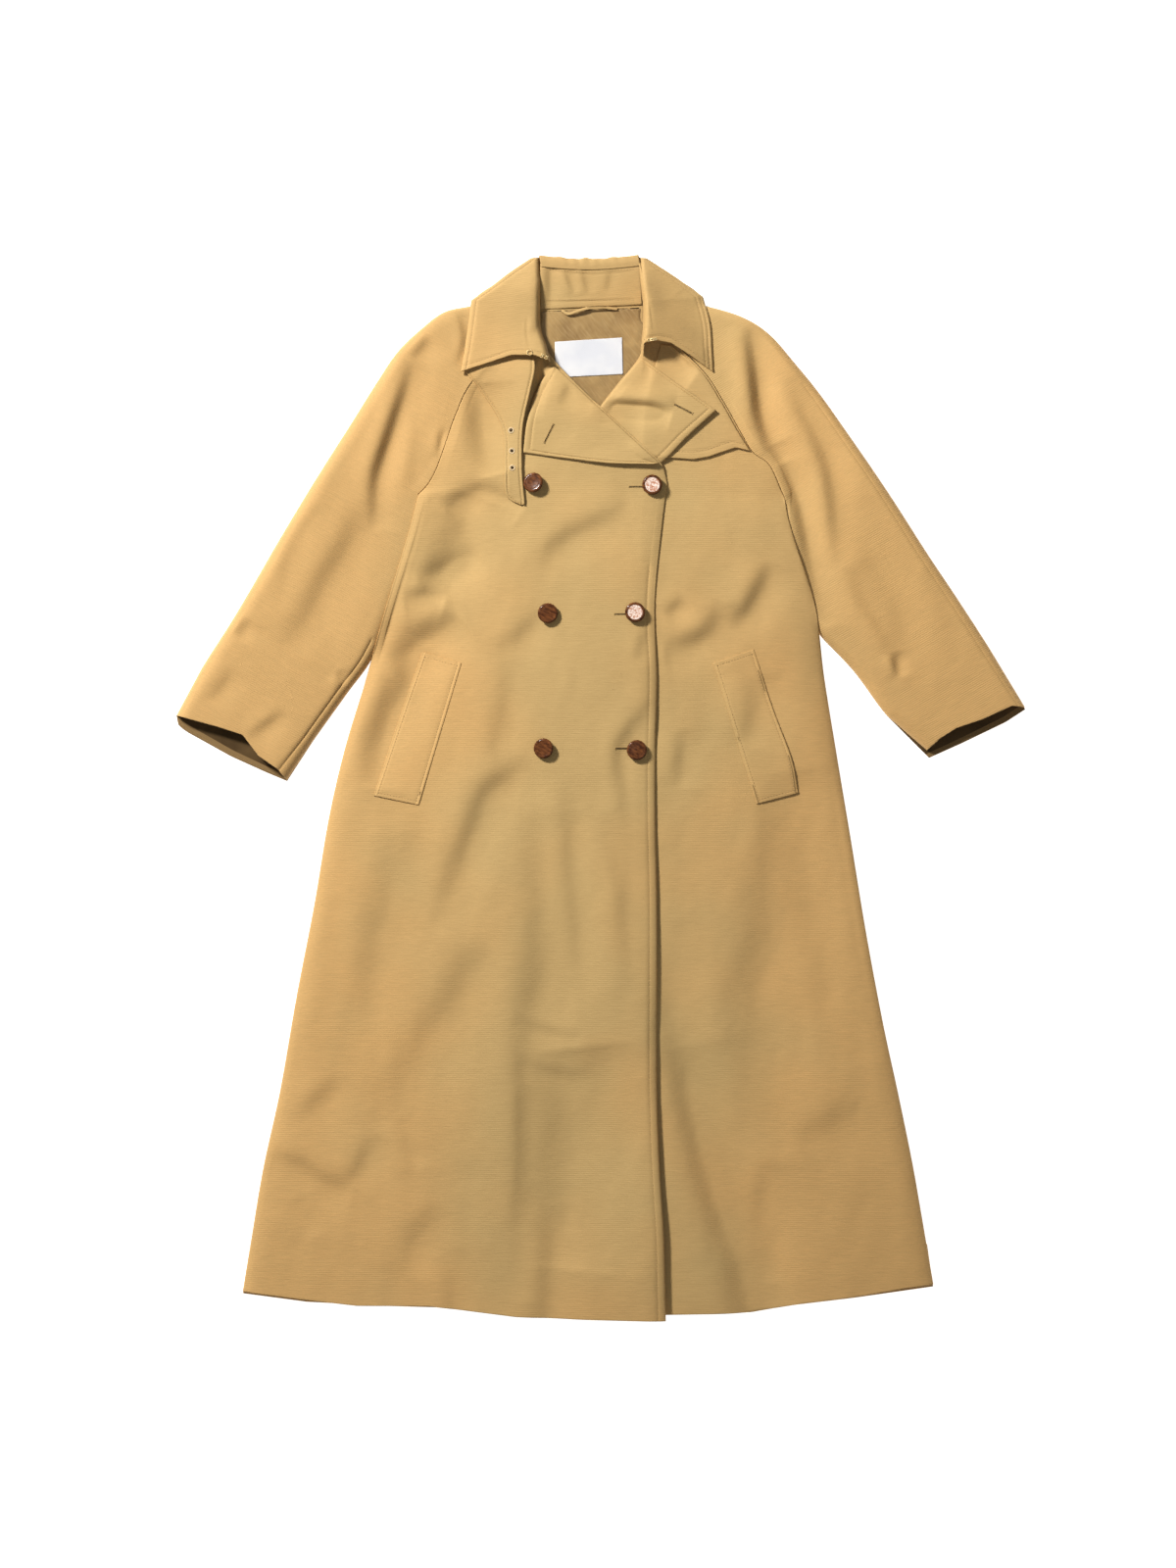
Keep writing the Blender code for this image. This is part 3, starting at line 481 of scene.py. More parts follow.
def smooth(before, start, end, after, share):
    """The curve through four values, at a share of the way from the second to the third."""
    square = share * share
    return 0.5 * (
        2 * start
        + (end - before) * share
        + (2 * before - 5 * start + 4 * end - after) * square
        + (3 * start - before - 3 * end + after) * square * share
    )


def section(rows, place):
    """The seven values of the row at a place counted in rows, with the curve broken at corners."""
    index = min(int(place), len(rows) - 2)
    values = np.array([line[:7] for line in rows], float)
    start, end = values[index:index + 2]
    before = 2 * start - end
    after = 2 * end - start
    if index > 0 and not rows[index].corner:
        before = values[index - 1]
    if index + 2 < len(rows) and not rows[index + 1].corner:
        after = values[index + 2]
    return smooth(before, start, end, after, place - index)


def width_of(line):
    """The distance between the two ends of a row."""
    return hypot(line.right_x - line.left_x, line.right_y - line.left_y)


def spread(line, shares):
    """The points at shares of the way between the two ends of a row."""
    ends = np.array(line[:4], float)
    return ends[:2, None] + (ends[2:] - ends[:2])[:, None] * shares


def run_between(start, end):
    """The longer of the two side lengths between two rows."""
    left = hypot(end.left_x - start.left_x, end.left_y - start.left_y)
    right = hypot(end.right_x - start.right_x, end.right_y - start.right_y)
    return max(left, right)


def places_down(rows, cell):
    """Where the lines of a fine mesh lie, counted in rows, with closer lines at both ends."""
    places = [0.0]
    for index, (start, end) in enumerate(zip(rows, rows[1:])):
        steps = max(2, ceil(run_between(start, end) / cell))
        places += [index + (step + 1) / steps for step in range(steps)]
    first = run_between(rows[0], rows[1])
    last = run_between(rows[-2], rows[-1])
    places += [step / first for step in EDGE_STEPS[1:] if step < cell]
    places += [len(rows) - 1 - step / last for step in EDGE_STEPS[1:] if step < cell]
    return sorted(set(np.round(places, 5)))


def shares_across(width, cells, steps):
    """Where the columns of a fine mesh lie across a line, with closer columns at both ends."""
    edge = np.array(steps) * min(1.0, width / (3 * steps[-1])) / width
    middle = np.linspace(edge[-1], 1 - edge[-1], cells + 1)[1:-1]
    return np.concatenate([edge, middle, 1 - edge[::-1]])


def along(points, share):
    """The point of an edge at a share of its width."""
    x = points[0][0] + (points[-1][0] - points[0][0]) * share
    for (x0, y0), (x1, y1) in zip(points, points[1:]):
        if (x - x0) * (x - x1) <= 0 and x0 != x1:
            return x, y0 + (y1 - y0) * (x - x0) / (x1 - x0)
    return points[-1]


def curve_through(path, steps=5):
    """A smooth line through a short path's points."""
    points = [np.array(point, float) for point in path]
    ends = [2 * points[0] - points[1], *points, 2 * points[-1] - points[-2]]
    line = [points[0]]
    for index in range(len(points) - 1):
        for step in range(steps):
            line.append(smooth(*ends[index:index + 4], (step + 1) / steps))
    return line


def way_along(x, y, axis):
    """How far each point of a grid is from the first of its line, along one of the grid's axes."""
    run = np.hypot(np.diff(x, axis=axis), np.diff(y, axis=axis)).cumsum(axis=axis)
    return np.insert(run, 0, 0, axis=axis)


def rounded(share):
    """The height of a quarter circle at a share of the way in from its foot."""
    return np.sqrt(1 - (1 - np.clip(share, 0, 1)) ** 2)


def bell(away, before, after):
    """A smooth bump, 1 at its middle, that reaches so far before and after it."""
    return np.exp(-((away / np.where(away < 0, before, after)) ** 2))


def crease_height(creases, x, y):
    """The sink of the creases at each point of a grid."""
    total = np.zeros_like(x)
    for crease in creases:
        width = crease.width
        line = curve_through(crease.path)
        chord = line[-1] - line[0]
        facing = np.sign(chord[0] * SHADE_WAY[1] - chord[1] * SHADE_WAY[0])
        nearest = np.full(x.shape, np.inf)
        beside = np.zeros_like(x)
        share = np.zeros_like(x)
        for index, (start, end) in enumerate(zip(line, line[1:])):
            run = end - start
            part = np.clip(((x - start[0]) * run[0] + (y - start[1]) * run[1]) / hypot(*run) ** 2, 0, 1)
            off_x = x - start[0] - run[0] * part
            off_y = y - start[1] - run[1] * part
            away = np.hypot(off_x, off_y)
            side = np.sign((run[0] * off_y - run[1] * off_x) * facing)
            closer = away < nearest
            nearest = np.where(closer, away, nearest)
            beside = np.where(closer, away * side, beside)
            share = np.where(closer, (index + part) / (len(line) - 1), share)
        trough = bell(beside - CREASE_SHIFT * width, width, CREASE_SLACK * width)
        crest = bell(beside + CREST_SHIFT * width, CREST_SLACK * width, width)
        total += crease.depth * np.sin(pi * share) ** 0.7 * (crease.crest * crest - trough)
    return total


def ripples(x, y, kinds):
    """Smooth random waves, the sum of several sizes."""
    total = np.zeros_like(x)
    for kind in kinds:
        lattice = np.random.default_rng(kind.seed).uniform(-1, 1, (LATTICE, LATTICE))
        u = x / kind.across + LATTICE // 2
        v = y / kind.down + LATTICE // 2
        column = np.floor(u).astype(int)
        line = np.floor(v).astype(int)
        u = (u - column) ** 2 * (3 - 2 * (u - column))
        v = (v - line) ** 2 * (3 - 2 * (v - line))
        corners = [lattice[(column + i) % LATTICE, (line + j) % LATTICE] for i in (0, 1) for j in (0, 1)]
        low = corners[0] * (1 - v) + corners[1] * v
        high = corners[2] * (1 - v) + corners[3] * v
        total += kind.height * (low * (1 - u) + high * u)
    return total


def blurred(grid):
    """Each value of a grid averaged with its neighbours."""
    padded = np.pad(grid, 1, mode="edge")
    across = (padded[:, :-2] + 2 * padded[:, 1:-1] + padded[:, 2:]) / 4
    return (across[:-2] + 2 * across[1:-1] + across[2:]) / 4


def envelope(grid, rounds):
    """The grid softened without going under any of its values."""
    soft = grid
    for _ in range(rounds):
        soft = np.maximum(grid, blurred(soft))
    return soft


def highest_near(grid):
    """The highest of each value and its neighbours, inside the rows of columns at both sides."""
    spread = grid.copy()
    inside = slice(len(EDGE_STEPS), -len(EDGE_STEPS))
    padded = np.pad(grid, 1, mode="edge")
    for i in range(3):
        for j in range(3):
            near = padded[i:i + grid.shape[0], j:j + grid.shape[1]]
            spread[:, inside] = np.maximum(spread[:, inside], near[:, inside])
    return spread


# Laying cloth

def quads(index):
    """The faces between the numbered points of a grid."""
    corners = [index[:-1, :-1], index[1:, :-1], index[1:, 1:], index[:-1, 1:]]
    return np.stack(corners, axis=-1).reshape(-1, 4)


def add_piece(name, points, faces, look, node=None):
    """A smooth mesh of one finish, its points in millimetres, that may stand for a node of the frame."""
    mesh = bpy.data.meshes.new(name)
    mesh.from_pydata((np.array(points) * MM).tolist(), [], faces)
    mesh.polygons.foreach_set("use_smooth", [True] * len(faces))
    mesh.materials.append(look)
    made = bpy.data.objects.new(name, mesh)
    bpy.context.scene.collection.objects.link(made)
    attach(made, "root")
    if node:
        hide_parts(node)
    return made


class Pile:
    """The tops of all the pieces laid so far."""

    def __init__(self):
        self.layers = []

    def add(self, x, y, top):
        points = np.stack([x, y, top], axis=-1).reshape(-1, 3)
        faces = quads(np.arange(x.size).reshape(x.shape))
        tree = BVHTree.FromPolygons(points.tolist(), faces.tolist())
        self.layers.append((x.min(), x.max(), y.min(), y.max(), tree))

    def heights(self, x, y):
        """The highest laid point at each point of a grid, and 0 where there is none."""
        found = np.zeros(x.size)
        flat_x = x.ravel()
        flat_y = y.ravel()
        down = Vector((0, 0, -1))
        for x0, x1, y0, y1, tree in self.layers:
            inside = (flat_x >= x0) & (flat_x <= x1) & (flat_y >= y0) & (flat_y <= y1)
            for spot in np.nonzero(inside)[0]:
                hit = tree.ray_cast(Vector((flat_x[spot], flat_y[spot], 1000)), down)[0]
                if hit is not None and hit.z > found[spot]:
                    found[spot] = hit.z
        return found.reshape(x.shape)


pile = Pile()
grids = {}
pieces = {}
sewn = {}


def shell(node, x, y, top, wall, look):
    """A closed thin shell under a grid of tops, with its edges rounded and shared."""
    lines, columns = x.shape
    across = way_along(x, y, 1)
    down = way_along(x, y, 0)
    inward = np.minimum.reduce([across, across[:, -1:] - across, down, down[-1:] - down])
    swell = rounded(inward / (EDGE_ROUND * wall))
    middle = top - wall / 2
    upper = np.arange(x.size).reshape(x.shape)
    lower = upper.copy()
    lower[1:-1, 1:-1] = x.size + np.arange((lines - 2) * (columns - 2)).reshape(lines - 2, -1)
    outside = np.stack([x, y, middle + swell * wall / 2], axis=-1)
    inside = np.stack([x, y, middle - swell * wall / 2], axis=-1)[1:-1, 1:-1]
    points = np.concatenate([outside.reshape(-1, 3), inside.reshape(-1, 3)])
    faces = np.concatenate([quads(upper), quads(lower)[:, TURNED_OVER]])
    return add_piece(node + "_cloth", points, faces.tolist(), look, node)


def cut_size(rows):
    """The width, length and area of a piece, in metres, from its rows."""
    length = 0.0
    area = 0.0
    for line, line_after in zip(rows, rows[1:]):
        start = np.array(line[:4])
        end = np.array(line_after[:4])
        run = (end[:2] + end[2:] - start[:2] - start[2:]) / 2
        across = (start[2:] - start[:2] + end[2:] - end[:2]) / 2
        length += hypot(*run)
        area += abs(across[0] * run[1] - across[1] * run[0])
    return max(NARROWEST_CUT, *map(width_of, rows)) * MM, length * MM, area * MM**2


def rounded_side(reach, place, joined):
    """How far a piece has risen from a side, which stays level down to the row where it is joined on."""
    free = min(1.0, max(0.0, place - joined + 1))
    return 1 + free * (rounded(reach) - 1)


def lay(
    node, rows, cell, look, edge=None, creases=(), lies=False, wall=GABARDINE, round_in=20.0, seams=(),
    waves=0.0, inset=0.0, soften=8, joined_left=0, joined_right=0,
    gap=LAY_GAP, tuck_left=0.0, tuck_right=0.0, folded=None,
):
    """Where it lies, its rows' heights are lifts over what is under it. Otherwise they are heights over the
    surface. Either way it is raised where it would cut into a piece below. A side rounds down to its edge
    only below the row where it stops being joined to its neighbour. A tuck turns a side down over a roll.
    A folded side comes down to the surface, where it meets the edge of the piece below.
    """
    steps = set(EDGE_STEPS)
    for line in seams:
        if line.side in ("left", "right"):
            steps |= {max(0.1, line.inset + shift) for shift in SEAM_STEPS}
    steps = sorted(steps)
    cells = max(3, round((max(map(width_of, rows)) - 2 * steps[-1]) / cell))
    lines = []
    for place in places_down(rows, cell):
        values = section(rows, place)
        left_z, right_z, loft = values[4:]
        width = hypot(*(values[2:4] - values[:2]))
        shares = shares_across(width, cells, steps)
        held_in = min(inset, width / 4) / width
        points = spread(values, held_in + (1 - 2 * held_in) * shares)
        if edge and place > len(rows) - 2:
            start = spread(rows[-2], shares)
            end = np.array([along(edge, share) for share in shares]).T
            points = start + (end - start) * (place - (len(rows) - 2))
        from_left = shares * width
        from_right = (1 - shares) * width
        rise = rounded_side(from_left / round_in, place, joined_left)
        fall = rounded_side(from_right / round_in, place, joined_right)
        lift = left_z + (right_z - left_z) * shares + loft * rise * fall
        lines.append([*points, lift, from_left, from_right])
    x, y, lift, from_left, from_right = np.array(lines).transpose(1, 0, 2)
    inward = np.minimum(from_left, from_right)
    lift -= tuck_left * (1 - rounded(from_left / ROLL_WIDTH))
    lift -= tuck_right * (1 - rounded(from_right / ROLL_WIDTH))
    lift += np.clip(inward / CREASE_INSET, 0, 1) * crease_height(creases, x, y)
    lift += waves * np.clip(inward / WAVE_INSET, 0, 1) * ripples(x, y, WAVES)
    lift += waves * ripples(x, y, FINE_WAVES)
    rest = pile.heights(x, y)
    rest = highest_near(np.where(rest > 0, rest + gap, 0.0))
    if lies:
        lift = np.maximum(lift, 0) + envelope(rest, soften)
    bottom = lift + envelope(np.maximum(0, rest - lift), BEND_ROUNDS)
    top = np.maximum(bottom, 0) + wall
    if folded:
        away = from_left if folded == "left" else from_right
        top = wall + (top - wall) * np.sqrt(np.clip(away / FOLD_WIDTH, 0, 1))
    for line in seams:
        top -= seam_sink(line, x, y, from_left, from_right)
    pile.add(x, y, top)
    grids[node] = (x, y)
    sewn[node] = seams
    pieces[node] = shell(node, x, y, top, wall, look)
    width, length, area = cut_size(rows)


def seam_sink(line, x, y, from_left, from_right):
    """The groove that a sewn line pulls into the cloth."""
    if line.side in ("left", "right"):
        away = from_left if line.side == "left" else from_right
        share = np.linspace(0, 1, x.shape[0])[:, None]
    else:
        order = slice(None, None, -1 if line.side == "end" else 1)
        away = way_along(x[order], y[order], 0)[order]
        share = np.linspace(0, 1, x.shape[1])[None, :]
    inside = (share >= line.start) & (share <= line.end)
    return line.depth * inside * bell(away - line.inset, SEAM_WIDTH, SEAM_WIDTH)


def inset_path(node, line):
    """The path of a sewn line over a piece."""
    x, y = grids[node]
    if line.side in ("start", "end"):
        x, y = x.T, y.T
    if line.side in ("right", "end"):
        x, y = x[:, ::-1], y[:, ::-1]
    path = []
    for index, run in enumerate(way_along(x, y, 1)):
        if line.start <= index / (len(x) - 1) <= line.end and run[-1] > 2 * line.inset:
            path.append([np.interp(line.inset, run, points) for points in (x[index], y[index])])
    return path


# Sewing

class Threads:
    """Short rounded lengths of thread, gathered into one mesh."""

    SIDES = 5

    def __init__(self):
        self.points = []
        self.faces = []

    def add(self, start, end, radius=THREAD_RADIUS):
        """A length from one point to another, in millimetres, or nothing where either is off the cloth."""
        if start is None or end is None:
            return
        way = (end - start).normalized()
        beside = way.cross(Vector((0, 0, 1))).normalized()
        above = beside.cross(way)
        first = len(self.points)
        bulge = min(radius, (end - start).length * 0.3)
        self.points.append(start)
        for centre in (start + way * bulge, end - way * bulge):
            for side in range(self.SIDES):
                turn = 2 * pi * side / self.SIDES
                self.points.append(centre + (beside * cos(turn) + above * sin(turn)) * radius)
        self.points.append(end)
        last = len(self.points) - 1
        for side in range(self.SIDES):
            near = first + 1 + side
            beyond = first + 1 + (side + 1) % self.SIDES
            self.faces.append((first, beyond, near))
            self.faces.append((near, beyond, beyond + self.SIDES, near + self.SIDES))
            self.faces.append((near + self.SIDES, beyond + self.SIDES, last))

    def build(self, name, look):
        add_piece(name, self.points, self.faces, look)


def on_cloth(node, x, y, above=0.0):
    """The point of a piece's top over a place, or None beside it."""
    hit, place, _, _ = pieces[node].ray_cast(Vector((x * MM, y * MM, 1)), Vector((0, 0, -1)))
    if not hit:
        return None
    return Vector((x, y, place.z / MM + above))


def sew(threads, node, path):
    """Stitches laid along a path over a piece."""
    x, y = np.array(path, float).T
    run = way_along(x, y, 0)
    for start in np.arange(STITCH_PITCH, run[-1] - STITCH_PITCH, STITCH_PITCH):
        ends = [(np.interp(way, run, x), np.interp(way, run, y)) for way in (start, start + STITCH_LENGTH)]
        threads.add(*(on_cloth(node, *end, STITCH_RISE) for end in ends))


def work_buttonhole(threads, hole_shadows, hole):
    """A slit with close bars over both its lips and a tack at each end; the slit itself is a dark rod of
    painted shade.
    """
    start = Vector(hole.start)
    end = Vector(hole.end)
    way = (end - start).normalized()
    beside = Vector((-way.y, way.x))
    for step in range(int((end - start).length / BAR_PITCH)):
        spot = start + way * step * BAR_PITCH
        for side in (-1, 1):
            near, far = [spot + beside * side * reach for reach in BAR_REACH]
            threads.add(on_cloth(hole.piece, *near, BAR_RISE), on_cloth(hole.piece, *far), BAR_RADIUS)
    for spot in (start, end):
        tack = [on_cloth(hole.piece, *(spot + beside * reach), TACK_RISE) for reach in TACK_REACH]
        threads.add(*tack, TACK_RADIUS)
    slit = [on_cloth(hole.piece, *spot, SLIT_RISE) for spot in (start + way, end - way)]
    hole_shadows.add(*slit, SLIT_RADIUS)


def bend_hook(threads, hook):
    """A round eye of wire with two legs, sewn to a leaf's lower edge."""
    at = on_cloth(hook.piece, hook.x, hook.y, HOOK_WIRE)
    if at is None:
        return
    way = Vector((cos(radians(hook.angle)), sin(radians(hook.angle)), 0))
    beside = Vector((-way.y, way.x, 0))
    turns = [2 * pi * step / HOOK_STEPS for step in range(HOOK_STEPS + 1)]
    ring = [at + (way * cos(turn) + beside * sin(turn)) * hook.eye for turn in turns]
    for start, end in zip(ring, ring[1:]):
        threads.add(start, end, HOOK_WIRE)
    for side in (-1, 1):
        leg = at + beside * side * hook.eye * 0.6
        threads.add(leg + way * hook.eye * 0.8, leg + way * (hook.eye + hook.leg), HOOK_WIRE)


def work_eyelet(threads, hole_shadows, node, x, y):
    """A round hole with thread worked all round it; the hole itself is dark spokes of painted shade."""
    for gathered, count, circle, reach, above in (
        (threads, EYELET_BARS, 2 * pi, EYELET_REACH, EYELET_RISE),
        (hole_shadows, EYELET_SPOKES, pi, EYELET_HOLE, HOLE_RISE),
    ):
        for step in range(count):
            turn = circle * step / count
            ends = [on_cloth(node, x + r * cos(turn), y + r * sin(turn), above) for r in reach]
            gathered.add(*ends, EYELET_RADIUS)


# Materials

class Finish:
    """A material whose nodes are added by short calls."""

    def __init__(self, name, roughness, sheen=0.0, coat=0.0, metallic=0.0, specular=0.5):
        self.material = bpy.data.materials.new(name)
        self.material.use_nodes = True
        self.tree = self.material.node_tree
        self.shader = self.tree.nodes["Principled BSDF"]
        self.feed(self.shader, {"Roughness": roughness, "Sheen Weight": sheen, "Coat Weight": coat})
        self.feed(self.shader, {"Metallic": metallic, "Specular IOR Level": specular})
        self.place = self.tree.nodes.new("ShaderNodeTexCoord").outputs["Object"]
        self.normal = None

    def feed(self, node, inputs):
        """Sets a node's inputs, and links those whose value is another node's output."""
        for key, value in dict(inputs).items():
            if isinstance(value, bpy.types.NodeSocket):
                self.tree.links.new(value, node.inputs[key])
            else:
                node.inputs[key].default_value = value

    def node(self, kind, inputs=(), **settings):
        made = self.tree.nodes.new(kind)
        for key, value in settings.items():
            setattr(made, key, value)
        self.feed(made, inputs)
        return made

    def turned(self, degrees, stretch=(1, 1, 1)):
        """Coordinates turned about Z and then stretched."""
        turn = self.node("ShaderNodeMapping", {"Vector": self.place, "Rotation": (0, 0, radians(degrees))})
        scaled = self.node("ShaderNodeMapping", {"Vector": turn.outputs[0], "Scale": stretch})
        return scaled.outputs[0]

    def noise(self, vector, scale, detail=2.0, roughness=0.5):
        inputs = {"Vector": vector, "Scale": scale, "Detail": detail, "Roughness": roughness}
        return self.node("ShaderNodeTexNoise", inputs).outputs[0]

    def ribs(self, vector, pitch, distortion=0.0):
        """Even ribs across X, pitch in metres."""
        scale = pi / (10 * pitch)
        inputs = {"Vector": vector, "Scale": scale, "Distortion": distortion, "Detail Scale": 2.0}
        return self.node("ShaderNodeTexWave", inputs, wave_type="BANDS", bands_direction="X").outputs["Fac"]

    def mix(self, share, first, second):
        """A mix of two colours, whose sockets have only numbers of their own."""
        return self.node("ShaderNodeMix", {0: share, 6: first, 7: second}, data_type="RGBA").outputs[2]

    def span(self, value, low, high, new_low=0.0, new_high=1.0):
        inputs = {"Value": value, "From Min": low, "From Max": high, "To Min": new_low, "To Max": new_high}
        return self.node("ShaderNodeMapRange", inputs).outputs[0]

    def bump(self, height, distance, strength=1.0):
        """Adds a bump over those added before."""
        inputs = {"Height": height, "Distance": distance, "Strength": strength}
        if self.normal is not None:
            inputs["Normal"] = self.normal
        self.normal = self.node("ShaderNodeBump", inputs).outputs[0]

    def done(self, colour):
        self.feed(self.shader, {"Base Color": colour})
        if self.normal is not None:
            self.feed(self.shader, {"Normal": self.normal})
        return self.material


def tone(red, green, blue):
    return (red, green, blue, 1)


WARM_FROM = (3.9, 0.8, 0.0)
RIB_PITCH = 0.0023


def gabardine(name, grain, ribbed=0.3, tint=1.0):
    """Fine tan twill: slubs along the weft, steep twill lines, and soft patches warmer and cooler."""
    finish = Finish(name, roughness=0.75, sheen=0.03, specular=0.3)
    patches = finish.noise(finish.place, 5.5, 2.0)
    slubs = finish.noise(finish.turned(-grain, (50, 520, 520)), 1.0, 3.0, 0.7)
    flecks = finish.noise(finish.place, 700, 2.0, 0.7)
    warm = tone(0.630 * tint, 0.370 * tint, 0.135 * tint)
    cool = tone(0.545 * tint, 0.365 * tint, 0.145 * tint)
    off_middle = finish.node("ShaderNodeVectorMath", {0: finish.place, 1: WARM_FROM}, operation="MULTIPLY")
    outward = finish.node("ShaderNodeVectorMath", {0: off_middle.outputs[0]}, operation="LENGTH").outputs[1]
    patchy = finish.span(patches, 0.3, 0.7, -0.5, 0.5)
    warmth = finish.node("ShaderNodeMath", {0: patchy, 1: outward}).outputs[0]
    colour = finish.mix(finish.span(warmth, 0.2, 1.1), cool, warm)
    darker = tone(0.430 * tint, 0.280 * tint, 0.105 * tint)
    colour = finish.mix(finish.span(slubs, 0.3, 0.7, 0.38, 0.0), colour, darker)
    colour = finish.mix(finish.span(flecks, 0.35, 0.7, 0.0, 0.22), colour, darker)
    finish.bump(finish.noise(finish.place, 22, 3.0, 0.5), 0.0022, 0.4)
    finish.bump(slubs, 0.0003, 0.8)
    ribs = finish.ribs(finish.turned(-grain - 90), RIB_PITCH, 1.5)
    finish.bump(ribs, 0.00022, ribbed)
    return finish.done(colour)


def neck_satin():
    """The glossy tan lining, with its fine uneven pile of light."""
    finish = Finish("lining_satin", roughness=0.38, sheen=0.4)
    streaks = finish.noise(finish.turned(52, (60, 420, 420)), 1.0, 3.0, 0.6)
    clouds = finish.noise(finish.place, 22, 3.0, 0.6)
    colour = finish.mix(finish.span(clouds, 0.35, 0.65), tone(0.26, 0.152, 0.050), tone(0.41, 0.258, 0.094))
    colour = finish.mix(finish.span(streaks, 0.45, 0.75, 0.0, 0.35), colour, tone(0.55, 0.38, 0.17))
    finish.bump(clouds, 0.004, 0.5)
    finish.bump(streaks, 0.0004, 0.8)
    return finish.done(colour)


def label_satin():
    """White satin, bare, with a faint cool crease."""
    finish = Finish("label_satin", roughness=0.42, sheen=0.3)
    weave = finish.noise(finish.turned(0, (300, 1500, 1500)), 1.0, 1.0)
    clouds = finish.noise(finish.place, 38, 2.0)
    colour = finish.mix(finish.span(clouds, 0.35, 0.7), tone(0.68, 0.69, 0.73), tone(0.77, 0.77, 0.78))
    finish.bump(clouds, 0.0012, 0.5)
    finish.bump(weave, 0.00008, 0.5)
    return finish.done(colour)


def inside_shade():
    """The tan-olive lining seen inside the cuffs, painted near-black for the shade in the cuff's opening."""
    finish = Finish("sleeve_lining_painted_shade", roughness=0.6, specular=0.1)
    clouds = finish.noise(finish.place, 30, 2.0)
    # Both tones are the lining's tan-olive taken near-black: painted shade
    colour = finish.mix(finish.span(clouds, 0.3, 0.7), tone(0.06, 0.034, 0.013), tone(0.11, 0.065, 0.025))
    finish.bump(clouds, 0.002, 0.5)
    return finish.done(colour)


def horn(name, painted_glare):
    """Polished brown horn with darker veins, or the same with a mottled pale face that is a painted
    reflection of the lamp.
    """
    finish = Finish(name, roughness=0.2, coat=0.04, specular=0.2)
    veins = finish.noise(finish.turned(30, (160, 420, 200)), 1.0, 4.0, 0.6)
    colour = finish.mix(finish.span(veins, 0.35, 0.7), tone(0.050, 0.015, 0.006), tone(0.20, 0.070, 0.022))
    if painted_glare:
        # The face's pale pinkish mottle is a painted reflection, glare on the polished face
        glare_mottle = finish.noise(finish.place, 430, 3.0, 0.65)
        light = finish.mix(finish.span(glare_mottle, 0.42, 0.62), tone(0.95, 0.80, 0.70), tone(0.52, 0.22, 0.12))
        face = finish.node("ShaderNodeAttribute", attribute_name="face").outputs["Fac"]
        colour = finish.mix(face, colour, light)
    finish.bump(veins, 0.0003, 0.3)
    return finish.done(colour)


def plain(name, colour, roughness, metallic=0.0):
    """A small part's finish, with a faint unevenness."""
    finish = Finish(name, roughness=roughness, metallic=metallic, specular=0.25)
    grain = finish.noise(finish.place, 700, 2.0)
    darker = tone(*(channel * 0.75 for channel in colour))
    finish.bump(grain, 0.00005, 0.4)
    return finish.done(finish.mix(grain, tone(*colour), darker))


BODY_CLOTH = gabardine("gabardine_body", 0, 0.3)
# The sleeves are one cloth: their tints paint the right sleeve darker and the left one lighter, painted shade
# and light that even out how the key lamp lights them
SLEEVE_RIGHT_CLOTH = gabardine("gabardine_sleeve_right", -28, 0.6, 0.93)
SLEEVE_LEFT_CLOTH = gabardine("gabardine_sleeve_left", 30, 0.6, 1.08)
COLLAR_CLOTH = gabardine("gabardine_collar", 8, 0.3, 0.93)
# The cuff facing is the tan cloth at about a third of its brightness: painted shade for the dark inside the
# cuff
SHADED_CUFF_FACING = gabardine("gabardine_facing_painted_shade", -28, 0.3, 0.38)
LINING = neck_satin()
LABEL_WHITE = label_satin()
SHADED_SLEEVE_LINING = inside_shade()
HORN = {"horn": horn("horn_brown", False), "painted_glare": horn("horn_face_painted_glare", True)}
THREAD = plain("thread_tan", (0.50, 0.33, 0.14), 0.6)
THREAD_OLIVE = plain("thread_olive", (0.36, 0.235, 0.09), 0.65)
THREAD_CREAM = plain("thread_cream", (0.80, 0.62, 0.38), 0.6)
# The near-black of the slits and eyelet holes is painted shade
OPENING_SHADOW = plain("slit_shadow", (0.035, 0.02, 0.01), 0.9)
BRASS = plain("brass_hook", (1.0, 0.80, 0.42), 0.35, 0.55)


# The coat

def fall_back():
    """The collar's fall behind the neck: over the puckered roll, then flat under the coat."""
    last = len(FALL_SECTION) - 1
    share = np.linspace(0, 1, FALL_COLUMNS + 1)
    arch = np.sin(pi * share)
    pucker = 0.7 + 0.7 * np.sin(7.3 * pi * share) + 0.5 * np.sin(15.1 * pi * share + 1.3)
    ruffle = 0.4 * np.sin(19 * pi * share)
    lines = []
    for step in range(last * FALL_STEPS + 1):
        place = step / FALL_STEPS
        index = min(int(place), last - 1)
        around = np.array([FALL_SECTION[max(0, min(last, index + shift))] for shift in (-1, 0, 1, 2)])
        line = FallLine(*smooth(*around, place - index))
        near_roll = bell(place - ROLL_LINE, ROLL_REACH, ROLL_REACH)
        x = line.left_x + (line.right_x - line.left_x) * share
        y = line.left_y + (line.right_y - line.left_y) * share - (line.dip + near_roll * pucker) * arch
        z = np.maximum(GABARDINE / 2, line.height + near_roll * ruffle * arch)
        lines.append(np.stack([x, y, z], axis=-1))
    points = np.concatenate(lines)
    faces = quads(np.arange(len(points)).reshape(-1, share.size))[:, TURNED_OVER].tolist()
    made = add_piece("collar_fall_cloth", points, faces, COLLAR_CLOTH, "collar_fall_back")
    solid = made.modifiers.new("Wall", "SOLIDIFY")
    solid.thickness = GABARDINE * MM
    solid.offset = 0


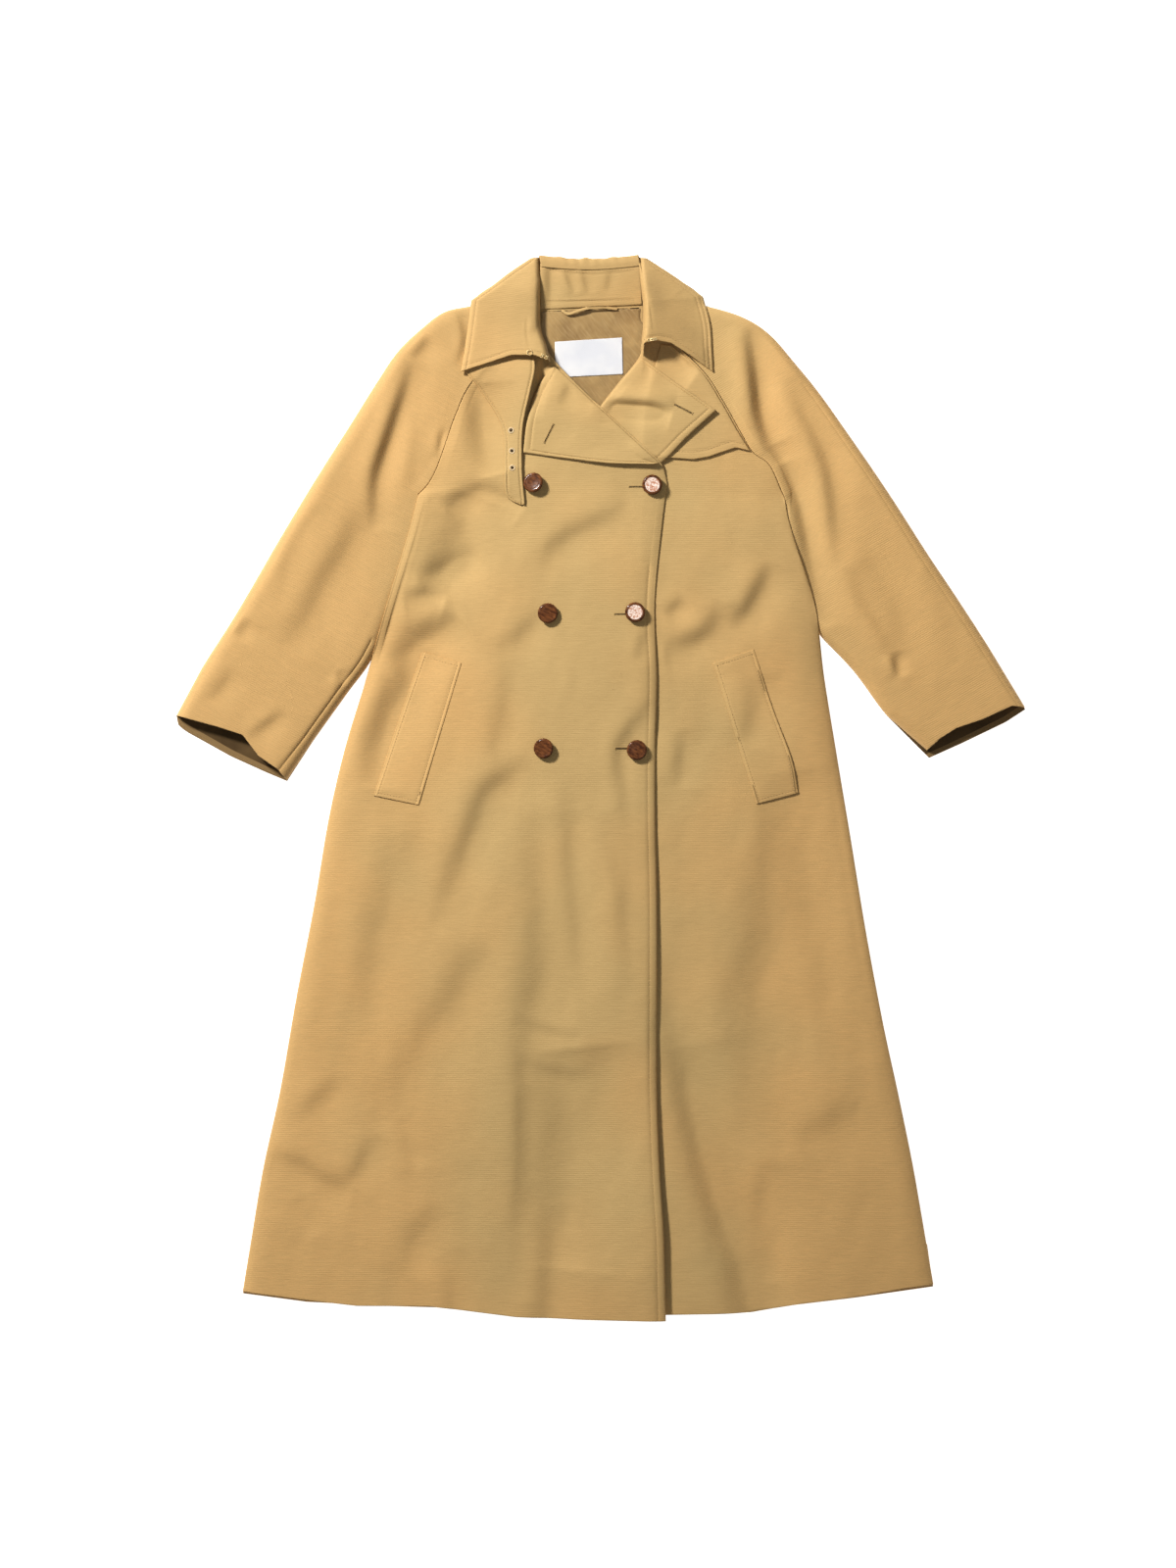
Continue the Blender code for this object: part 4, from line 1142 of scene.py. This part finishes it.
def line_cuff(node):
    """Gives the inner face of a sleeve back its lining, painted near-black for the shade in the cuff, and
    next to the cuff a facing of the tan cloth painted dark for that shade.
    """
    mesh = pieces[node].data
    mesh.materials.append(SHADED_SLEEVE_LINING)
    mesh.materials.append(SHADED_CUFF_FACING)
    lines, columns = grids[node][0].shape
    inner = (lines - 1) * (columns - 1)
    # The last lines before the cuff take the facing of painted shade, and the rest take the lining
    shaded_facing_from = inner - SHADED_FACING_LINES * (columns - 1)
    for face in mesh.polygons[:inner]:
        face.material_index = 1 if face.index < shaded_facing_from else 2


def build_cloth():
    fall_back()
    for node, rows, cloth, cuff in (
        ("sleeve_back_right", SLEEVE_RIGHT, SLEEVE_RIGHT_CLOTH, CUFF_RIGHT_LOWER),
        ("sleeve_back_left", SLEEVE_LEFT, SLEEVE_LEFT_CLOTH, CUFF_LEFT_LOWER),
    ):
        flat = [line._replace(left_z=0, right_z=0, loft=0) for line in rows]
        lay(node, flat, 7, cloth, edge=cuff)
        line_cuff(node)
    lay(
        "sleeve_front_right", SLEEVE_RIGHT, 3.2, SLEEVE_RIGHT_CLOTH, edge=CUFF_RIGHT_UPPER,
        creases=SLEEVE_CREASES, round_in=18, waves=0.7, joined_right=10,
        seams=[Seam("right", 10, 0.72, 1, JOIN_DEPTH), Seam("left", 3.4, 0.3, 0.62)], folded="left",
    )
    lay(
        "sleeve_front_left", SLEEVE_LEFT, 3.2, SLEEVE_LEFT_CLOTH, edge=CUFF_LEFT_UPPER,
        creases=SLEEVE_CREASES, round_in=15, waves=0.7, joined_left=8,
        seams=[Seam("right", 10.4, 0.35, 1)], folded="right",
    )
    lay("back", BACK, 9, BODY_CLOTH, edge=BACK_HEM, inset=FOLD_INSET)
    lay("lining_neck", LINING_NECK, 2.5, LINING, lies=True, wall=SATIN, waves=0.4)
    lay("label", LABEL, 2, LABEL_WHITE, lies=True, wall=SATIN)
    lay(
        "front_left", FRONT_LEFT, 4, BODY_CLOTH, edge=HEM_LEFT, creases=BODY_CREASES, round_in=26,
        waves=0.9, joined_right=6,
    )
    lay(
        "storm_flap", STORM_FLAP, 2, BODY_CLOTH, edge=STORM_FLAP_EDGE, lies=True, round_in=8,
        seams=[Seam("end", 8.5)],
    )
    lay(
        "lapel_left", LAPEL_LEFT, 2, BODY_CLOTH, lies=True, round_in=4,
        creases=LAPEL_CREASES, waves=0.25, seams=[Seam("right", 9)], soften=40,
    )
    lay(
        "front_right", FRONT_RIGHT, 4, BODY_CLOTH, edge=HEM_RIGHT, creases=BODY_CREASES, round_in=26,
        waves=0.9, seams=[Seam("right", 9.2, 0.3, 1)], joined_left=6,
    )
    lay(
        "lapel_right", LAPEL_RIGHT, 2, BODY_CLOTH, lies=True, round_in=4,
        creases=LAPEL_CREASES, waves=0.25, seams=[Seam("left", 8.5)], soften=70,
    )
    lay(
        "throat_latch", THROAT_LATCH, 1.6, COLLAR_CLOTH, lies=True, wall=TURNED_EDGE, round_in=5,
        seams=[Seam("left", 3.4, depth=0.9), Seam("right", 3.4, depth=0.9)],
    )
    lay("collar_stand", COLLAR_STAND, 1.4, COLLAR_CLOTH, creases=STAND_CREASES, waves=0.2, wall=STAND_WALL)
    lay("hanger_loop", HANGER_LOOP, 0.9, COLLAR_CLOTH, lies=True, wall=LOOP_WALL, round_in=2)
    lay(
        "collar_leaf_right", LEAF_RIGHT, 2, COLLAR_CLOTH, edge=LEAF_RIGHT_EDGE, wall=TURNED_EDGE,
        creases=COLLAR_CREASES, round_in=13, waves=0.35,
        seams=[Seam("left", 6.3), Seam("end", 6.3)], tuck_right=9,
    )
    lay(
        "collar_leaf_left", LEAF_LEFT, 2, COLLAR_CLOTH, edge=LEAF_LEFT_EDGE, wall=TURNED_EDGE,
        creases=COLLAR_CREASES, round_in=13, waves=0.35,
        seams=[Seam("right", 4), Seam("right", 9), Seam("end", 6.3)], tuck_left=18,
    )
    for node, rows, front in (
        ("pocket_welt_right", WELT_RIGHT, "front_right"),
        ("pocket_welt_left", WELT_LEFT, "front_left"),
    ):
        lay(
            node, rows, 2, BODY_CLOTH, lies=True, wall=WELT_WALL, round_in=5, gap=WELT_GAP,
            seams=[Seam(side, 4.4, depth=WELT_DEPTH) for side in ("left", "right", "start", "end")],
        )


def sew_everything():
    bpy.context.view_layer.update()
    stitches = Threads()
    for node in STITCHED:
        for line in sewn[node]:
            sew(stitches, node, inset_path(node, line))
    for path in STAND_STITCHES:
        sew(stitches, "collar_stand", path)
    stitches.build("topstitching", THREAD)

    worked = Threads()
    hole_shadows = Threads()
    for hole in BUTTONHOLES:
        work_buttonhole(worked, hole_shadows, hole)
    worked.build("buttonhole_thread", THREAD_OLIVE)
    rings = Threads()
    for x, y in EYELETS:
        work_eyelet(rings, hole_shadows, "throat_latch", x, y)
    rings.build("eyelet_thread", THREAD_CREAM)
    hole_shadows.build("painted_hole_shadows", OPENING_SHADOW)

    hooks = Threads()
    for hook in HOOKS:
        bend_hook(hooks, hook)
    hooks.build("collar_hooks", BRASS)


def sew_buttons():
    """The six buttons, turned from one section, each tilted and stood on the cloth."""
    radius, height = np.array(BUTTON_SECTION).T[:, :, None]
    turn = 2 * pi * np.arange(BUTTON_TURNS) / BUTTON_TURNS
    points = np.stack([radius * np.cos(turn), radius * np.sin(turn), height + 0 * turn], axis=-1)
    index = np.arange(points.size // 3).reshape(-1, BUTTON_TURNS)
    faces = quads(np.hstack([index, index[:, :1]])).tolist()
    on_face = np.repeat((radius < FACE_RADIUS) & (height > FACE_FOOT), BUTTON_TURNS)
    for button in BUTTONS:
        look = HORN[button.look]
        made = add_piece(button.name + "_turned", points.reshape(-1, 3), faces, look, button.name)
        attribute = made.data.attributes.new("face", "FLOAT", "POINT")
        attribute.data.foreach_set("value", on_face.astype(float).tolist())
        highest = pile.heights(button.x + BUTTON_SPOTS[0], button.y + BUTTON_SPOTS[1]).max()
        stand = Matrix.Translation(Vector((button.x, button.y, highest)) * MM)
        tilt = Euler((radians(button.tilt_x), radians(button.tilt_y), 0))
        made.data.transform(stand @ tilt.to_matrix().to_4x4())


# Floor, light and camera

def light(name, place, size, power, colour):
    """A round lamp that shines at the middle of the coat."""
    lamp = bpy.data.lights.new(name, "AREA")
    lamp.shape = "DISK"
    lamp.size = size
    lamp.energy = power
    lamp.color = colour
    made = bpy.data.objects.new(name, lamp)
    made.location = place
    made.rotation_euler = (-Vector(place)).to_track_quat("-Z", "Y").to_euler()
    bpy.context.scene.collection.objects.link(made)


def set_stage():
    mesh = bpy.data.meshes.new("floor")
    half = 6.0
    level = -0.0008
    corners = [(x * half, y * half, level) for x, y in ((-1, -1), (1, -1), (1, 1), (-1, 1))]
    mesh.from_pydata(corners, [], [(0, 1, 2, 3)])
    white = Finish("floor_white", roughness=0.9)
    white.shader.inputs["Emission Color"].default_value = tone(1, 1, 1)
    white.shader.inputs["Emission Strength"].default_value = 0.9
    mesh.materials.append(white.done(tone(0.93, 0.93, 0.93)))
    floor = bpy.data.objects.new("floor", mesh)
    bpy.context.scene.collection.objects.link(floor)

    world = bpy.data.worlds.new("studio")
    world.use_nodes = True
    world.node_tree.nodes["Background"].inputs["Color"].default_value = (1.0, 1.0, 1.0, 1)
    world.node_tree.nodes["Background"].inputs["Strength"].default_value = 0.19
    bpy.context.scene.world = world
    light("key", (-1.85, 1.95, 1.9), 0.5, 150, (1.0, 0.985, 0.96))
    light("fill", (1.2, -1.0, 4.0), 3.0, 12, (1.0, 1.0, 1.0))

    scene = bpy.context.scene
    scene.view_settings.view_transform = "Standard"
    camera = bpy.data.cameras.new("camera")
    camera.sensor_fit = "VERTICAL"
    camera.sensor_height = 36
    distance = 4.0
    seen_height = 1.84
    camera.lens = camera.sensor_height * distance / seen_height
    made = bpy.data.objects.new("camera", camera)
    made.location = (-0.015, 0.0035, distance)
    scene.collection.objects.link(made)
    scene.camera = made


build_cloth()
sew_everything()
sew_buttons()
set_stage()
